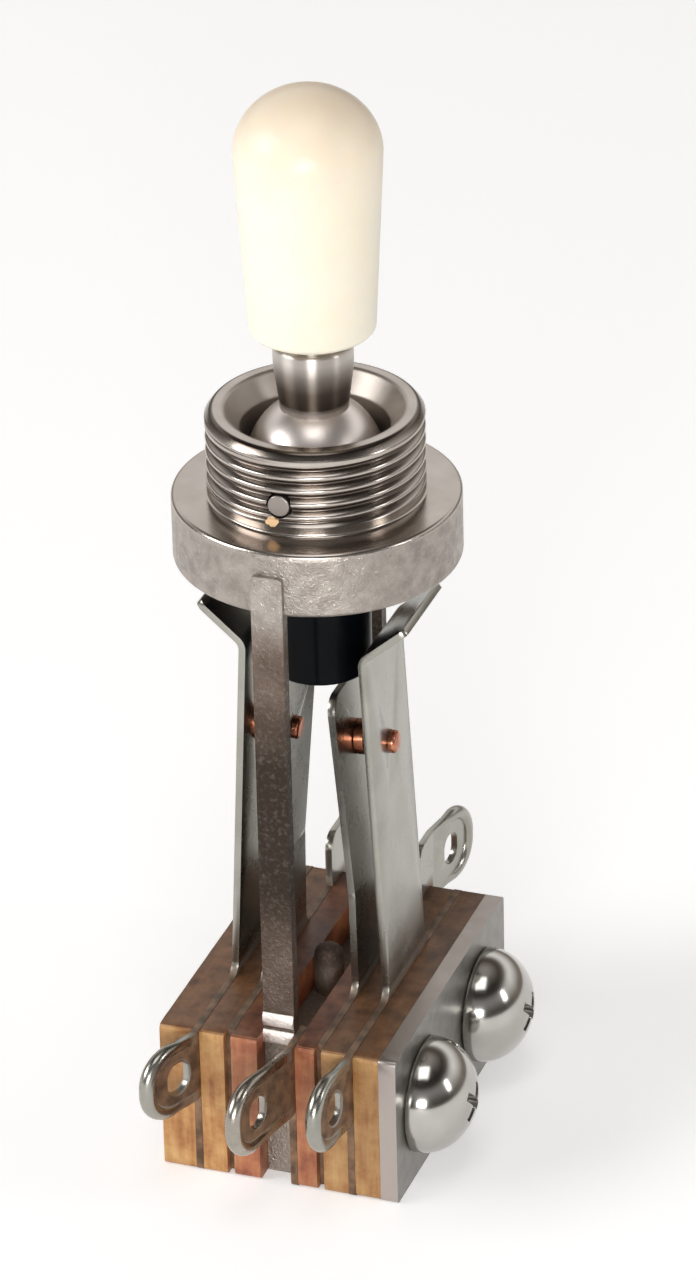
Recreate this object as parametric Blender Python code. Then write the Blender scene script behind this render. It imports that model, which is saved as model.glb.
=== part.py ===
# Three-way selector switch of an electric guitar.
# A tipped lever rocks on a cross pin inside a threaded bushing. Its plunger pushes one of two
# outer spring leaves away from its inner leaf, which opens that pair of contacts. The leaves
# are clamped with insulating pads on the foot of the cast frame, under two screws.
#
# Lengths are in metres. +Z runs up the bushing, +X is the side of the screw heads, and -Y is
# the front, with three of the five solder lugs. The origin is the centre of the flange's top
# face, which seats against the underside of the panel.
import math

import bmesh
import bpy
from mathutils import Matrix, Vector

MM = 0.001

# Running and seating clearances
PIN_CLEARANCE = 0.04 * MM
STACK_CLEARANCE = 0.01 * MM
HOLE_CLEARANCE = 0.05 * MM
CLAMP_HOLE_CLEARANCE = 0.1 * MM

# Frame casting: bushing and flange
THREAD_DIAMETER = 12.0 * MM
BUSHING_HEIGHT = 5.0 * MM
BORE_DIAMETER = 8.2 * MM
RIM_OUTER_DIAMETER = 11.3 * MM
RIM_INNER_DIAMETER = 9.8 * MM
RIM_EDGE_DROP = 0.55 * MM
RIM_EDGE_RADIUS = 0.25 * MM
THREAD_PITCH = 25.4 / 32 * MM
THREAD_DEPTH = 0.4 * MM
THREAD_START = 0.62 * MM
THREAD_RUN_OUT = 0.3 * MM
THREAD_CREST_HEIGHT = 1.12 * MM
THREAD_CREST_SHARE = 0.1
THREAD_ROOT_SHARE = 0.16
RIM_FUNNEL_DROP = 1.2 * MM
FLANGE_DIAMETER = 15.9 * MM
FLANGE_THICKNESS = 3.85 * MM
FLANGE_EDGE_RADIUS = 0.25 * MM
POCKET_DIAMETER = 10.4 * MM
POCKET_DROP = 0.5 * MM

# Frame casting: arms and foot
ARM_WIDTH = 1.8 * MM
ARM_THICKNESS = 0.75 * MM
ARM_PROUD = 0.3 * MM
ARM_SPAN = FLANGE_DIAMETER + 2 * ARM_PROUD
ARM_TOP_DROP = 1.4 * MM
ARM_CORNER_RADIUS = 0.3 * MM
FOOT_TOP_DEPTH = 2.0 * MM
FOOT_FILLET = 0.8 * MM
BEAD_HEIGHT = 0.93 * MM
BEAD_DEPTH = 0.24 * MM
BEAD_PITCH = 1.1 * MM
BEAD_COUNT = 2
LOWEST_BEAD_DEPTH = 0.35 * MM
STUB_DIAMETER = 1.7 * MM
STUB_RISE = 0.9 * MM
STUB_DOME_RADIUS = 0.68 * MM

# Clamped stack, between the two lamination ends and from its top to its base
STACK_DROP = 29.9 * MM
STACK_HEIGHT = 9.25 * MM
FOOT_SETBACK = 1.25 * MM
STACK_LENGTH = ARM_SPAN + 2 * FOOT_SETBACK
PAD_CORNER_RADIUS = 0.3 * MM
GROUND_PLATE_THICKNESS = 0.4 * MM
GROUND_PAD_THICKNESS = 1.14 * MM
LEFT_INNER_PAD_THICKNESS = 1.54 * MM
MIDDLE_PAD_THICKNESS = 1.43 * MM
LEFT_OUTER_PAD_THICKNESS = 1.94 * MM
RIGHT_OUTER_PAD_THICKNESS = 1.48 * MM
CLAMP_THICKNESS = 1.0 * MM
BACKING_THICKNESS = 0.45 * MM
BACKING_INSET = 1.5 * MM

# Screws and their insulating sleeves
SCREW_PITCH = 10.0 * MM
SCREW_DIAMETER = 3.5 * MM
SLEEVE_DIAMETER = 4.4 * MM
HEAD_DIAMETER = 6.6 * MM
HEAD_HEIGHT = 2.3 * MM
HEAD_DOME = 0.75 * MM
HEAD_FACE_DIAMETER = 3.63 * MM
HEAD_SEAT_RADIUS = 0.1 * MM
SCREW_END_RADIUS = 0.2 * MM
RECESS_SPAN = 3.4 * MM
RECESS_WIDTH = 0.75 * MM
RECESS_DEPTH = 1.3 * MM
RECESS_TAPER = 0.5

# Spring leaves
LEAF_THICKNESS = 0.4 * MM
BLADE_WIDTH = 6.2 * MM
BLADE_FILLET = 0.8 * MM
OUTER_CORNER_RADIUS = 0.35 * MM
INNER_CORNER_RADIUS = 1.0 * MM
INNER_LEAF_RECESS = 0.5 * MM
KNEE_X = 3.45 * MM
KNEE_DROP = 8.7 * MM
KNEE_RADIUS = 0.8 * MM
FLARE_X = 6.0 * MM
FLARE_TOP_DROP = 6.5 * MM
INNER_BEND_INSET = 0.08 * MM
INNER_BEND_DROP = 23.6 * MM
INNER_BEND_RADIUS = 4.0 * MM
INNER_TIP_X = 1.56 * MM
INNER_TIP_CLEARANCE = 0.2 * MM
LEAF_SWING_DROP = 23.0 * MM

# Solder lugs
LUG_HEIGHT = 4.3 * MM
LUG_END_RADIUS = 1.9 * MM
LUG_BEND_RADIUS = 0.8 * MM
LUG_HOLE_WIDTH = 1.5 * MM
LUG_HOLE_HEIGHT = 1.95 * MM
LUG_HOLE_INSET = 2.25 * MM
LEFT_LUG_LENGTH = 4.0 * MM
LEFT_LUG_BEND = math.radians(-23.5)
GROUND_LUG_LENGTH = 6.0 * MM
GROUND_LUG_BEND = math.radians(-13.5)
RIGHT_LUG_LENGTH = 4.4 * MM
RIGHT_LUG_BEND = math.radians(-9)
REAR_LUG_LENGTH = 4.7 * MM
REAR_LUG_BEND = math.radians(10)
REAR_LUG_RISE = 3.2 * MM
REAR_LUG_ROOT = 2.0 * MM

# Contact rivets
CONTACT_DROP = 15.2 * MM
CONTACT_DIAMETER = 2.0 * MM
CONTACT_DOME = 0.12 * MM
CONTACT_GAP = 0.04 * MM
CONTACT_SHANK_DIAMETER = 0.9 * MM
CONTACT_TAIL_DIAMETER = 1.3 * MM
CONTACT_TAIL_HEIGHT = 0.42 * MM
CONTACT_TAIL_RADIUS = 0.25 * MM
CONTACT_SEAT = 0.03 * MM

# Lever, its pin, tip and plunger
PIVOT_HEIGHT = 1.8 * MM
PIN_DIAMETER = 1.25 * MM
PIN_LENGTH = 12.0 * MM
PIN_EDGE_RADIUS = 0.12 * MM
BALL_DIAMETER = 7.5 * MM
SHAFT_ROOT_DIAMETER = 3.8 * MM
SHAFT_TOP_DIAMETER = 4.6 * MM
SHAFT_TAPER_TOP = 7.7 * MM
SHAFT_TAPER_RADIUS = 0.4 * MM
SHOULDER_RADIUS = 0.15 * MM
STUD_DIAMETER = 3.5 * MM
STUD_LENGTH = 7.5 * MM
STUD_END_RADIUS = 0.3 * MM
STEM_DIAMETER = 2.6 * MM
TIP_BASE_HEIGHT = 9.3 * MM
TIP_BASE_DIAMETER = 7.28 * MM
TIP_DIAMETER = 8.56 * MM
TIP_WIDEST_HEIGHT = 20.4 * MM
TIP_DOME_HEIGHT = 3.3 * MM
TIP_EDGE_RADIUS = 0.35 * MM
TIP_MOUTH_RADIUS = 0.15 * MM
TIP_SEAT = 0.45 * MM
PLUNGER_DIAMETER = 5.66 * MM
PLUNGER_TOP_DROP = 3.0 * MM
PLUNGER_BOTTOM_DROP = 10.9 * MM
PLUNGER_EDGE_RADIUS = 0.3 * MM
PLUNGER_FLAT_WIDTH = 1.6 * MM
STEM_SEAT = 0.3 * MM

# Facets of round forms
FINE_SEGMENTS = 48
SEGMENTS = 24
SMALL_SEGMENTS = 16
ARC_STEP = math.radians(24)
BALL_STEPS = 9
DOME_STEPS = 8
BEAD_STEPS = 6
CROWN_STEPS = 4
SLOT_END_SHARE = 0.499
CUTTER_REACH = 1.2
MERGE_DISTANCE = 0.0005 * MM
SMOOTH_ANGLE = math.radians(32)

# Places worked out from the sizes above
pivot = Vector((0, 0, PIVOT_HEIGHT))
half_arm = ARM_WIDTH / 2
stack_top = -STACK_DROP
stack_base = stack_top - STACK_HEIGHT
stack_front = -STACK_LENGTH / 2
screw_z = (stack_top + stack_base) / 2
hole_diameter = SLEEVE_DIAMETER + 2 * HOLE_CLEARANCE
plunger_reach = PIVOT_HEIGHT + PLUNGER_BOTTOM_DROP
inner_tip_z = PIVOT_HEIGHT - math.hypot(PLUNGER_DIAMETER / 2, plunger_reach) - INNER_TIP_CLEARANCE


def clear_scene():
    for obj in list(bpy.data.objects):
        bpy.data.objects.remove(obj, do_unlink=True)


def material(name, color, roughness, metallic):
    """Principled material with a linear base colour."""
    mat = bpy.data.materials.new(name)
    mat.use_nodes = True
    shader = mat.node_tree.nodes["Principled BSDF"]
    shader.inputs["Base Color"].default_value = (*color, 1)
    shader.inputs["Roughness"].default_value = roughness
    shader.inputs["Metallic"].default_value = metallic
    return mat


def add_object(name, bm, mat, origin=(0, 0, 0)):
    """Object from a bmesh in world coordinates, with its own origin at a given point."""
    bm.transform(Matrix.Translation(-Vector(origin)))
    mesh = bpy.data.meshes.new(name)
    bm.to_mesh(mesh)
    bm.free()
    mesh.shade_smooth()
    mesh.set_sharp_from_angle(angle=SMOOTH_ANGLE)
    obj = bpy.data.objects.new(name, mesh)
    obj.location = origin
    bpy.context.collection.objects.link(obj)
    if mat is not None:
        mesh.materials.append(mat)
    return obj


def add_cutter(name, bm):
    """Helper solid for a Boolean, which isn't part of the model."""
    cutter = add_object(name, bm, None)
    cutter.hide_render = True
    cutter.display_type = "WIRE"
    return cutter


def boolean(obj, helper, operation):
    modifier = obj.modifiers.new(helper.name, "BOOLEAN")
    modifier.operation = operation
    modifier.object = helper


def rounded_path(corners, closed=True):
    """Points along a path of (u, v, radius) corners, with an arc at each corner."""
    points = []
    last = len(corners) - 1
    for index, (u, v, radius) in enumerate(corners):
        corner = Vector((u, v))
        if radius == 0 or (not closed and index in (0, last)):
            points.append((u, v))
            continue
        back = (Vector(corners[index - 1][:2]) - corner).normalized()
        ahead = (Vector(corners[(index + 1) % (last + 1)][:2]) - corner).normalized()
        half = back.angle(ahead) / 2
        centre = corner + (back + ahead).normalized() * radius / math.sin(half)
        start = corner + back * radius / math.tan(half) - centre
        end = corner + ahead * radius / math.tan(half) - centre
        turn = math.atan2(start.cross(end), start.dot(end))
        steps = max(2, math.ceil(abs(turn) / ARC_STEP))
        for step in range(steps + 1):
            points.append(tuple(centre + Matrix.Rotation(turn * step / steps, 2) @ start))
    return points


def circle(u, v, diameter, segments=SEGMENTS):
    """Points of a circle, the same from any start as long as the segments match."""
    angles = [2 * math.pi * step / segments for step in range(segments)]
    return [(u + diameter / 2 * math.cos(a), v + diameter / 2 * math.sin(a)) for a in angles]


def slot_hole(u, v, width, height):
    """Upright hole with round ends."""
    low_u, high_u = u - width / 2, u + width / 2
    low_v, high_v = v - height / 2, v + height / 2
    end = width * SLOT_END_SHARE
    return rounded_path([
        (low_u, low_v, end),
        (high_u, low_v, end),
        (high_u, high_v, end),
        (low_u, high_v, end),
    ])


def revolve(profile, segments=SEGMENTS, closed=True):
    """Form turned about Z from (radius, z) points; an open profile of a solid has its ends on the axis."""
    bm = bmesh.new()
    verts = [bm.verts.new((radius, 0, z)) for radius, z in profile]
    pairs = list(zip(verts, verts[1:]))
    if closed:
        pairs.append((verts[-1], verts[0]))
    edges = [bm.edges.new(pair) for pair in pairs]
    bmesh.ops.spin(
        bm, geom=verts + edges, cent=(0, 0, 0), axis=(0, 0, 1), angle=2 * math.pi, steps=segments
    )
    bmesh.ops.remove_doubles(bm, verts=bm.verts[:], dist=MERGE_DISTANCE)
    bmesh.ops.recalc_face_normals(bm, faces=bm.faces[:])
    return bm


def turned_along(bm, axis, at=(0, 0, 0)):
    """Turns a form made about Z so that its +Z points along an axis, then places it."""
    turn = Vector((0, 0, 1)).rotation_difference(Vector(axis)).to_matrix().to_4x4()
    bm.transform(Matrix.Translation(at) @ turn)
    return bm


def blank(outline, holes=()):
    """Flat face in the plane X = 0, from (y, z) loops."""
    bm = bmesh.new()
    for loop in [outline, *holes]:
        verts = [bm.verts.new((0, y, z)) for y, z in loop]
        for pair in zip(verts, verts[1:] + verts[:1]):
            bm.edges.new(pair)
    bmesh.ops.triangle_fill(bm, use_beauty=True, use_dissolve=False, edges=bm.edges[:])
    return bm


def plate(outline, holes, x_from, thickness):
    """Flat plate from x_from to x_from + thickness."""
    bm = blank(outline, holes)
    extruded = bmesh.ops.extrude_face_region(bm, geom=bm.faces[:])["geom"]
    moved = [item for item in extruded if isinstance(item, bmesh.types.BMVert)]
    bmesh.ops.translate(bm, verts=moved, vec=(thickness, 0, 0))
    bmesh.ops.translate(bm, verts=bm.verts[:], vec=(x_from, 0, 0))
    bmesh.ops.recalc_face_normals(bm, faces=bm.faces[:])
    return bm


def interpolate(path, at):
    """Second coordinate of an open path of (first, second) points, where first only grows."""
    for (u0, v0), (u1, v1) in zip(path, path[1:]):
        if at <= u1:
            return v0 + (v1 - v0) * (at - u0) / (u1 - u0)
    return path[-1][1]


def pressed_sheet(name, outline, holes, mat, base_x, blade=(), lug=()):
    """Stamped sheet at base_x: its blade is bent to a path of (z, x), its lug to one of (y, x)."""
    bm = blank(outline, holes)
    lines = [((0, 0, z), (0, 0, 1)) for z, _ in blade] + [((0, y, 0), (0, 1, 0)) for y, _ in lug]
    for point, normal in lines:
        everything = bm.verts[:] + bm.edges[:] + bm.faces[:]
        bmesh.ops.bisect_plane(bm, geom=everything, plane_co=point, plane_no=normal, dist=MERGE_DISTANCE)
    half_root = BLADE_WIDTH / 2 + BLADE_FILLET + MERGE_DISTANCE
    for vert in bm.verts:
        x = base_x
        if blade and abs(vert.co.y) < half_root and vert.co.z > blade[0][0]:
            x = interpolate(blade, vert.co.z)
        if lug and lug[0][0] - MERGE_DISTANCE < vert.co.y < lug[-1][0] + MERGE_DISTANCE:
            x += interpolate(lug, vert.co.y)
        vert.co.x = x
    bmesh.ops.recalc_face_normals(bm, faces=bm.faces[:])
    sheet = add_object(name, bm, mat)
    solidify = sheet.modifiers.new("sheet thickness", "SOLIDIFY")
    solidify.thickness = LEAF_THICKNESS
    solidify.offset = 0
    solidify.use_even_offset = True
    return sheet


def screw_holes(diameter):
    return [circle(y, screw_z, diameter) for y in (-SCREW_PITCH / 2, SCREW_PITCH / 2)]


def stack_outline(inset=0):
    """Outline of a pad, or of a clamping plate that may be smaller on every side."""
    front, rear = stack_front + inset, -stack_front - inset
    base, top = stack_base + inset, stack_top - inset
    return rounded_path([
        (front, base, PAD_CORNER_RADIUS),
        (rear, base, PAD_CORNER_RADIUS),
        (rear, top, PAD_CORNER_RADIUS),
        (front, top, PAD_CORNER_RADIUS),
    ])


def stack_places():
    """Left face, in X, of each layer, counted outward from the two faces of the foot."""
    right = [
        ("ground_lug", GROUND_PLATE_THICKNESS),
        ("ground_pad", GROUND_PAD_THICKNESS),
        ("right_inner_leaf", LEAF_THICKNESS),
        ("right_middle_pad", MIDDLE_PAD_THICKNESS),
        ("right_outer_leaf", LEAF_THICKNESS),
        ("right_outer_pad", RIGHT_OUTER_PAD_THICKNESS),
        ("clamp_plate", CLAMP_THICKNESS),
    ]
    left = [
        ("left_inner_pad", LEFT_INNER_PAD_THICKNESS),
        ("left_inner_leaf", LEAF_THICKNESS),
        ("left_middle_pad", MIDDLE_PAD_THICKNESS),
        ("left_outer_leaf", LEAF_THICKNESS),
        ("left_outer_pad", LEFT_OUTER_PAD_THICKNESS),
        ("backing_plate", BACKING_THICKNESS),
    ]
    places = {}
    x = half_arm
    for layer, thickness in right:
        x += STACK_CLEARANCE
        places[layer] = x
        x += thickness
    x = -half_arm
    for layer, thickness in left:
        x -= STACK_CLEARANCE + thickness
        places[layer] = x
    return places


layer_x = stack_places()
right_outer_x = layer_x["right_outer_leaf"] + LEAF_THICKNESS / 2
right_inner_x = layer_x["right_inner_leaf"] + LEAF_THICKNESS / 2
left_outer_x = layer_x["left_outer_leaf"] + LEAF_THICKNESS / 2
left_inner_x = layer_x["left_inner_leaf"] + LEAF_THICKNESS / 2


def beads(face_y, side):
    """Rounded beads across an arm's outer face, as outline points from low to high."""
    points = []
    lowest = stack_top - LOWEST_BEAD_DEPTH
    for index in range(BEAD_COUNT):
        centre = lowest + index * BEAD_PITCH
        for step in range(BEAD_STEPS + 1):
            angle = math.pi * (step / BEAD_STEPS - 0.5)
            y = face_y + side * BEAD_DEPTH * math.cos(angle)
            points.append((y, centre + BEAD_HEIGHT / 2 * math.sin(angle)))
    return points


def thread_column(angle, z_from, z_to):
    """Points of the thread at one angle, from low to high, held between two heights."""
    radius = THREAD_DIAMETER / 2
    lead = THREAD_CREST_HEIGHT + THREAD_PITCH * (angle / (2 * math.pi) + 0.25)
    lowest = math.floor((z_from - THREAD_CREST_HEIGHT) / THREAD_PITCH) - 2
    highest = math.ceil((z_to - THREAD_CREST_HEIGHT) / THREAD_PITCH) + 1
    half_crest, half_root = THREAD_CREST_SHARE / 2, THREAD_ROOT_SHARE / 2
    marks = [(-half_crest, 0), (half_crest, 0), (0.5 - half_root, 1), (0.5 + half_root, 1)]
    points = []
    for turn in range(lowest, highest + 1):
        for share, depth_share in marks:
            z = min(z_to, max(z_from, lead + THREAD_PITCH * (turn + share)))
            fade = min(1, (z - z_from) / THREAD_RUN_OUT, (z_to - z) / THREAD_RUN_OUT)
            r = radius - THREAD_DEPTH * depth_share * fade
            points.append((r * math.cos(angle), r * math.sin(angle), z))
    return points, len(marks)


def threaded_ring(profile, z_from, z_to):
    """Ring from an open (radius, z) profile, closed on the outside by a helical thread."""
    bm = revolve(profile, FINE_SEGMENTS, closed=False)
    columns = []
    for step in range(FINE_SEGMENTS):
        points, rows_in_turn = thread_column(2 * math.pi * step / FINE_SEGMENTS, z_from, z_to)
        columns.append([bm.verts.new(point) for point in points])
    for step, column in enumerate(columns):
        shift = rows_in_turn if step == FINE_SEGMENTS - 1 else 0
        after = columns[(step + 1) % FINE_SEGMENTS][shift:]
        for row in range(len(after) - 1):
            bm.faces.new((column[row], after[row], after[row + 1], column[row + 1]))
    bmesh.ops.remove_doubles(bm, verts=bm.verts[:], dist=MERGE_DISTANCE)
    bmesh.ops.recalc_face_normals(bm, faces=bm.faces[:])
    return bm


def pin_bore(radius):
    """Cylinder along the cross pin's axis, a little wider than the pin, through a form of a radius."""
    bore_r = PIN_DIAMETER / 2 + PIN_CLEARANCE
    reach = radius * CUTTER_REACH
    profile = [(0, -reach), (bore_r, -reach), (bore_r, reach), (0, reach)]
    return turned_along(revolve(profile, SMALL_SEGMENTS, closed=False), (0, 1, 0), pivot)


def build_frame(mat):
    """Casting: threaded bushing and flange, two arms, and the foot that the stack is clamped to."""
    flange_r = FLANGE_DIAMETER / 2
    thread_r = THREAD_DIAMETER / 2
    bore_r = BORE_DIAMETER / 2
    pocket_r = POCKET_DIAMETER / 2
    thread_end = BUSHING_HEIGHT - RIM_EDGE_DROP
    ring = rounded_path([
        (thread_r, thread_end, 0),
        (RIM_OUTER_DIAMETER / 2, BUSHING_HEIGHT, RIM_EDGE_RADIUS),
        (RIM_INNER_DIAMETER / 2, BUSHING_HEIGHT, RIM_EDGE_RADIUS),
        (bore_r, BUSHING_HEIGHT - RIM_FUNNEL_DROP, RIM_EDGE_RADIUS),
        (bore_r, -POCKET_DROP, 0),
        (pocket_r, -POCKET_DROP, 0),
        (pocket_r, -FLANGE_THICKNESS, 0),
        (flange_r, -FLANGE_THICKNESS, FLANGE_EDGE_RADIUS),
        (flange_r, 0, FLANGE_EDGE_RADIUS),
        (thread_r, 0, 0),
        (thread_r, THREAD_START, 0),
    ], closed=False)
    frame = add_object("frame", threaded_ring(ring, THREAD_START, thread_end), mat)

    outer_y = ARM_SPAN / 2
    inner_y = outer_y - ARM_THICKNESS
    foot_top = stack_top - FOOT_TOP_DEPTH
    rear = [(outer_y, -ARM_TOP_DROP), (inner_y, -ARM_TOP_DROP)]
    window = rounded_path([
        (inner_y, 0, 0),
        (inner_y, foot_top, FOOT_FILLET),
        (-inner_y, foot_top, FOOT_FILLET),
        (-inner_y, 0, 0),
    ], closed=False)[1:-1]
    front = [(-inner_y, -ARM_TOP_DROP), (-outer_y, -ARM_TOP_DROP)]
    base = [(-outer_y, stack_base), (outer_y, stack_base)]
    front_beads = list(reversed(beads(-outer_y, -1)))
    outline = base + beads(outer_y, 1) + rear + window + front + front_beads
    arms = plate(outline, screw_holes(hole_diameter), -half_arm, ARM_WIDTH)
    crown = [
        edge for edge in arms.edges
        if all(abs(vert.co.z + ARM_TOP_DROP) < MERGE_DISTANCE for vert in edge.verts)
        and abs(edge.verts[0].co.x - edge.verts[1].co.x) < MERGE_DISTANCE
    ]
    bmesh.ops.bevel(
        arms, geom=crown, offset=ARM_CORNER_RADIUS, segments=CROWN_STEPS, profile=0.5, affect="EDGES"
    )
    bmesh.ops.recalc_face_normals(arms, faces=arms.faces[:])
    boolean(frame, add_cutter("arms and foot", arms), "UNION")

    stub_r = STUB_DIAMETER / 2
    stub_root = foot_top - FOOT_FILLET
    stub_top = stack_top + STUB_RISE
    stub = rounded_path([
        (0, stub_root, 0),
        (stub_r, stub_root, 0),
        (stub_r, stub_top, STUB_DOME_RADIUS),
        (0, stub_top, 0),
    ], closed=False)
    stub_form = revolve(stub, SMALL_SEGMENTS, closed=False)
    boolean(frame, add_cutter("cast stub on foot", stub_form), "UNION")
    boolean(frame, add_cutter("pin bore in bushing", pin_bore(thread_r)), "DIFFERENCE")
    return frame


def build_pin(mat):
    """Cross pin with softened ends."""
    radius = PIN_DIAMETER / 2
    half = PIN_LENGTH / 2
    profile = rounded_path([
        (0, -half, 0),
        (radius, -half, PIN_EDGE_RADIUS),
        (radius, half, PIN_EDGE_RADIUS),
        (0, half, 0),
    ], closed=False)
    pin = turned_along(revolve(profile, SMALL_SEGMENTS, closed=False), (0, 1, 0), pivot)
    return add_object("pivot_pin", pin, mat, pivot)


def build_lever(mat):
    """Turned lever: threaded stud, tapered shaft, ball and stem in one piece, on the cross pin."""
    ball_r = BALL_DIAMETER / 2
    root_r = SHAFT_ROOT_DIAMETER / 2
    shaft_r = SHAFT_TOP_DIAMETER / 2
    stud_r = STUD_DIAMETER / 2
    stem_r = STEM_DIAMETER / 2
    shoulder = TIP_BASE_HEIGHT - TIP_SEAT
    stud_top = TIP_BASE_HEIGHT + STUD_LENGTH
    stem_end = -PLUNGER_BOTTOM_DROP + STEM_SEAT
    low_angle = -math.acos(stem_r / ball_r)
    high_angle = math.acos(root_r / ball_r)
    profile = [(0, stem_end), (stem_r, stem_end)]
    for step in range(BALL_STEPS + 1):
        angle = low_angle + (high_angle - low_angle) * step / BALL_STEPS
        profile.append((ball_r * math.cos(angle), PIVOT_HEIGHT + ball_r * math.sin(angle)))
    profile += rounded_path([
        (root_r, PIVOT_HEIGHT + ball_r, 0),
        (shaft_r, SHAFT_TAPER_TOP, SHAFT_TAPER_RADIUS),
        (shaft_r, shoulder, SHOULDER_RADIUS),
        (stud_r, shoulder, 0),
        (stud_r, stud_top, STUD_END_RADIUS),
        (0, stud_top, 0),
    ], closed=False)
    lever = add_object("lever", revolve(profile, SEGMENTS, closed=False), mat, pivot)
    boolean(lever, add_cutter("pin bore in ball", pin_bore(ball_r)), "DIFFERENCE")
    return lever


def build_tip(mat):
    """Moulded tip: a slender barrel that widens to a low dome, with a blind hole for the stud."""
    base_r = TIP_BASE_DIAMETER / 2
    wide_r = TIP_DIAMETER / 2
    hole_r = STUD_DIAMETER / 2 + HOLE_CLEARANCE
    hole_top = TIP_BASE_HEIGHT + STUD_LENGTH + TIP_SEAT
    profile = [(0, hole_top)] + rounded_path([
        (hole_r, hole_top, 0),
        (hole_r, TIP_BASE_HEIGHT, TIP_MOUTH_RADIUS),
        (base_r, TIP_BASE_HEIGHT, TIP_EDGE_RADIUS),
        (wide_r, TIP_WIDEST_HEIGHT, 0),
    ], closed=False)
    for step in range(1, DOME_STEPS):
        angle = math.pi / 2 * step / DOME_STEPS
        profile.append((wide_r * math.cos(angle), TIP_WIDEST_HEIGHT + TIP_DOME_HEIGHT * math.sin(angle)))
    profile.append((0, TIP_WIDEST_HEIGHT + TIP_DOME_HEIGHT))
    return add_object("switch_tip", revolve(profile, SEGMENTS, closed=False), mat, pivot)


def build_plunger(mat):
    """Moulded cylinder on the lever's stem, with a narrow flat at the front and the back."""
    radius = PLUNGER_DIAMETER / 2
    hole_r = STEM_DIAMETER / 2 + HOLE_CLEARANCE
    profile = rounded_path([
        (hole_r, -PLUNGER_TOP_DROP, 0),
        (hole_r, -PLUNGER_BOTTOM_DROP, 0),
        (radius, -PLUNGER_BOTTOM_DROP, PLUNGER_EDGE_RADIUS),
        (radius, -PLUNGER_TOP_DROP, PLUNGER_EDGE_RADIUS),
    ])
    bm = revolve(profile, SEGMENTS)
    flat_y = math.sqrt(radius ** 2 - (PLUNGER_FLAT_WIDTH / 2) ** 2)
    for vert in bm.verts:
        vert.co.y = max(-flat_y, min(flat_y, vert.co.y))
    return add_object("plunger", bm, mat, pivot)


def blade_outline(tip_z, corner_radius):
    """Blade part of a leaf's outline, from its rear root over the tip to its front root."""
    half = BLADE_WIDTH / 2
    return [
        (half, stack_top, BLADE_FILLET),
        (half, tip_z, corner_radius),
        (-half, tip_z, corner_radius),
        (-half, stack_top, BLADE_FILLET),
    ]


def front_lug_corners(length):
    """Lug that runs forward from the stack, level with the stack's top, as outline corners."""
    end = stack_front - length
    low = stack_top - LUG_HEIGHT
    return [
        (end, stack_top, LUG_END_RADIUS),
        (end, low, LUG_END_RADIUS),
        (stack_front, low, 0),
    ]


def front_lug_hole(length):
    centre = stack_front - length + LUG_HOLE_INSET
    return slot_hole(centre, stack_top - LUG_HEIGHT / 2, LUG_HOLE_WIDTH, LUG_HOLE_HEIGHT)


def front_lug_path(length, bend):
    """Sideways shift of a front lug, as (y, x) points from its end to the stack."""
    bend_y = stack_front - LUG_BEND_RADIUS / 2
    end = stack_front - length
    return rounded_path([
        (end, (bend_y - end) * math.tan(bend), 0),
        (bend_y, 0, LUG_BEND_RADIUS),
        (stack_front, 0, 0),
    ], closed=False)


def rear_lug_path(bend):
    """Sideways shift of a rear lug, as (y, x) points from the stack to its end."""
    rear = -stack_front
    bend_y = rear + LUG_BEND_RADIUS / 2
    end = rear + REAR_LUG_LENGTH
    return rounded_path([
        (rear, 0, 0),
        (bend_y, 0, LUG_BEND_RADIUS),
        (end, (end - bend_y) * math.tan(bend), 0),
    ], closed=False)


def outer_blade_path(base_x, side):
    """Blade of an outer leaf as (z, x): straight in to the knee, then flared outward."""
    return rounded_path([
        (stack_top, base_x, 0),
        (-KNEE_DROP, side * KNEE_X, KNEE_RADIUS),
        (-FLARE_TOP_DROP, side * FLARE_X, 0),
    ], closed=False)


def inner_blade_path(base_x, side):
    """Blade of an inner leaf as (z, x): nearly upright, then leaning in to its tip."""
    return rounded_path([
        (stack_top, base_x, 0),
        (-INNER_BEND_DROP, base_x - side * INNER_BEND_INSET, INNER_BEND_RADIUS),
        (inner_tip_z, side * INNER_TIP_X, 0),
    ], closed=False)


def leaf_hole():
    return circle(0, -CONTACT_DROP, CONTACT_SHANK_DIAMETER + 2 * HOLE_CLEARANCE, SMALL_SEGMENTS)


def build_outer_leaf(name, side, base_x, lug_length, lug_bend, mat):
    """Outer spring leaf: clamped plate, front lug and flared blade in one stamping."""
    corners = [
        (stack_front, stack_base, PAD_CORNER_RADIUS),
        (-stack_front, stack_base, PAD_CORNER_RADIUS),
        (-stack_front, stack_top, PAD_CORNER_RADIUS),
        *blade_outline(-FLARE_TOP_DROP, OUTER_CORNER_RADIUS),
        *front_lug_corners(lug_length),
    ]
    holes = screw_holes(hole_diameter) + [leaf_hole(), front_lug_hole(lug_length)]
    blade = outer_blade_path(base_x, side)
    lug = front_lug_path(lug_length, lug_bend)
    return pressed_sheet(name, rounded_path(corners), holes, mat, base_x, blade, lug)


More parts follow.
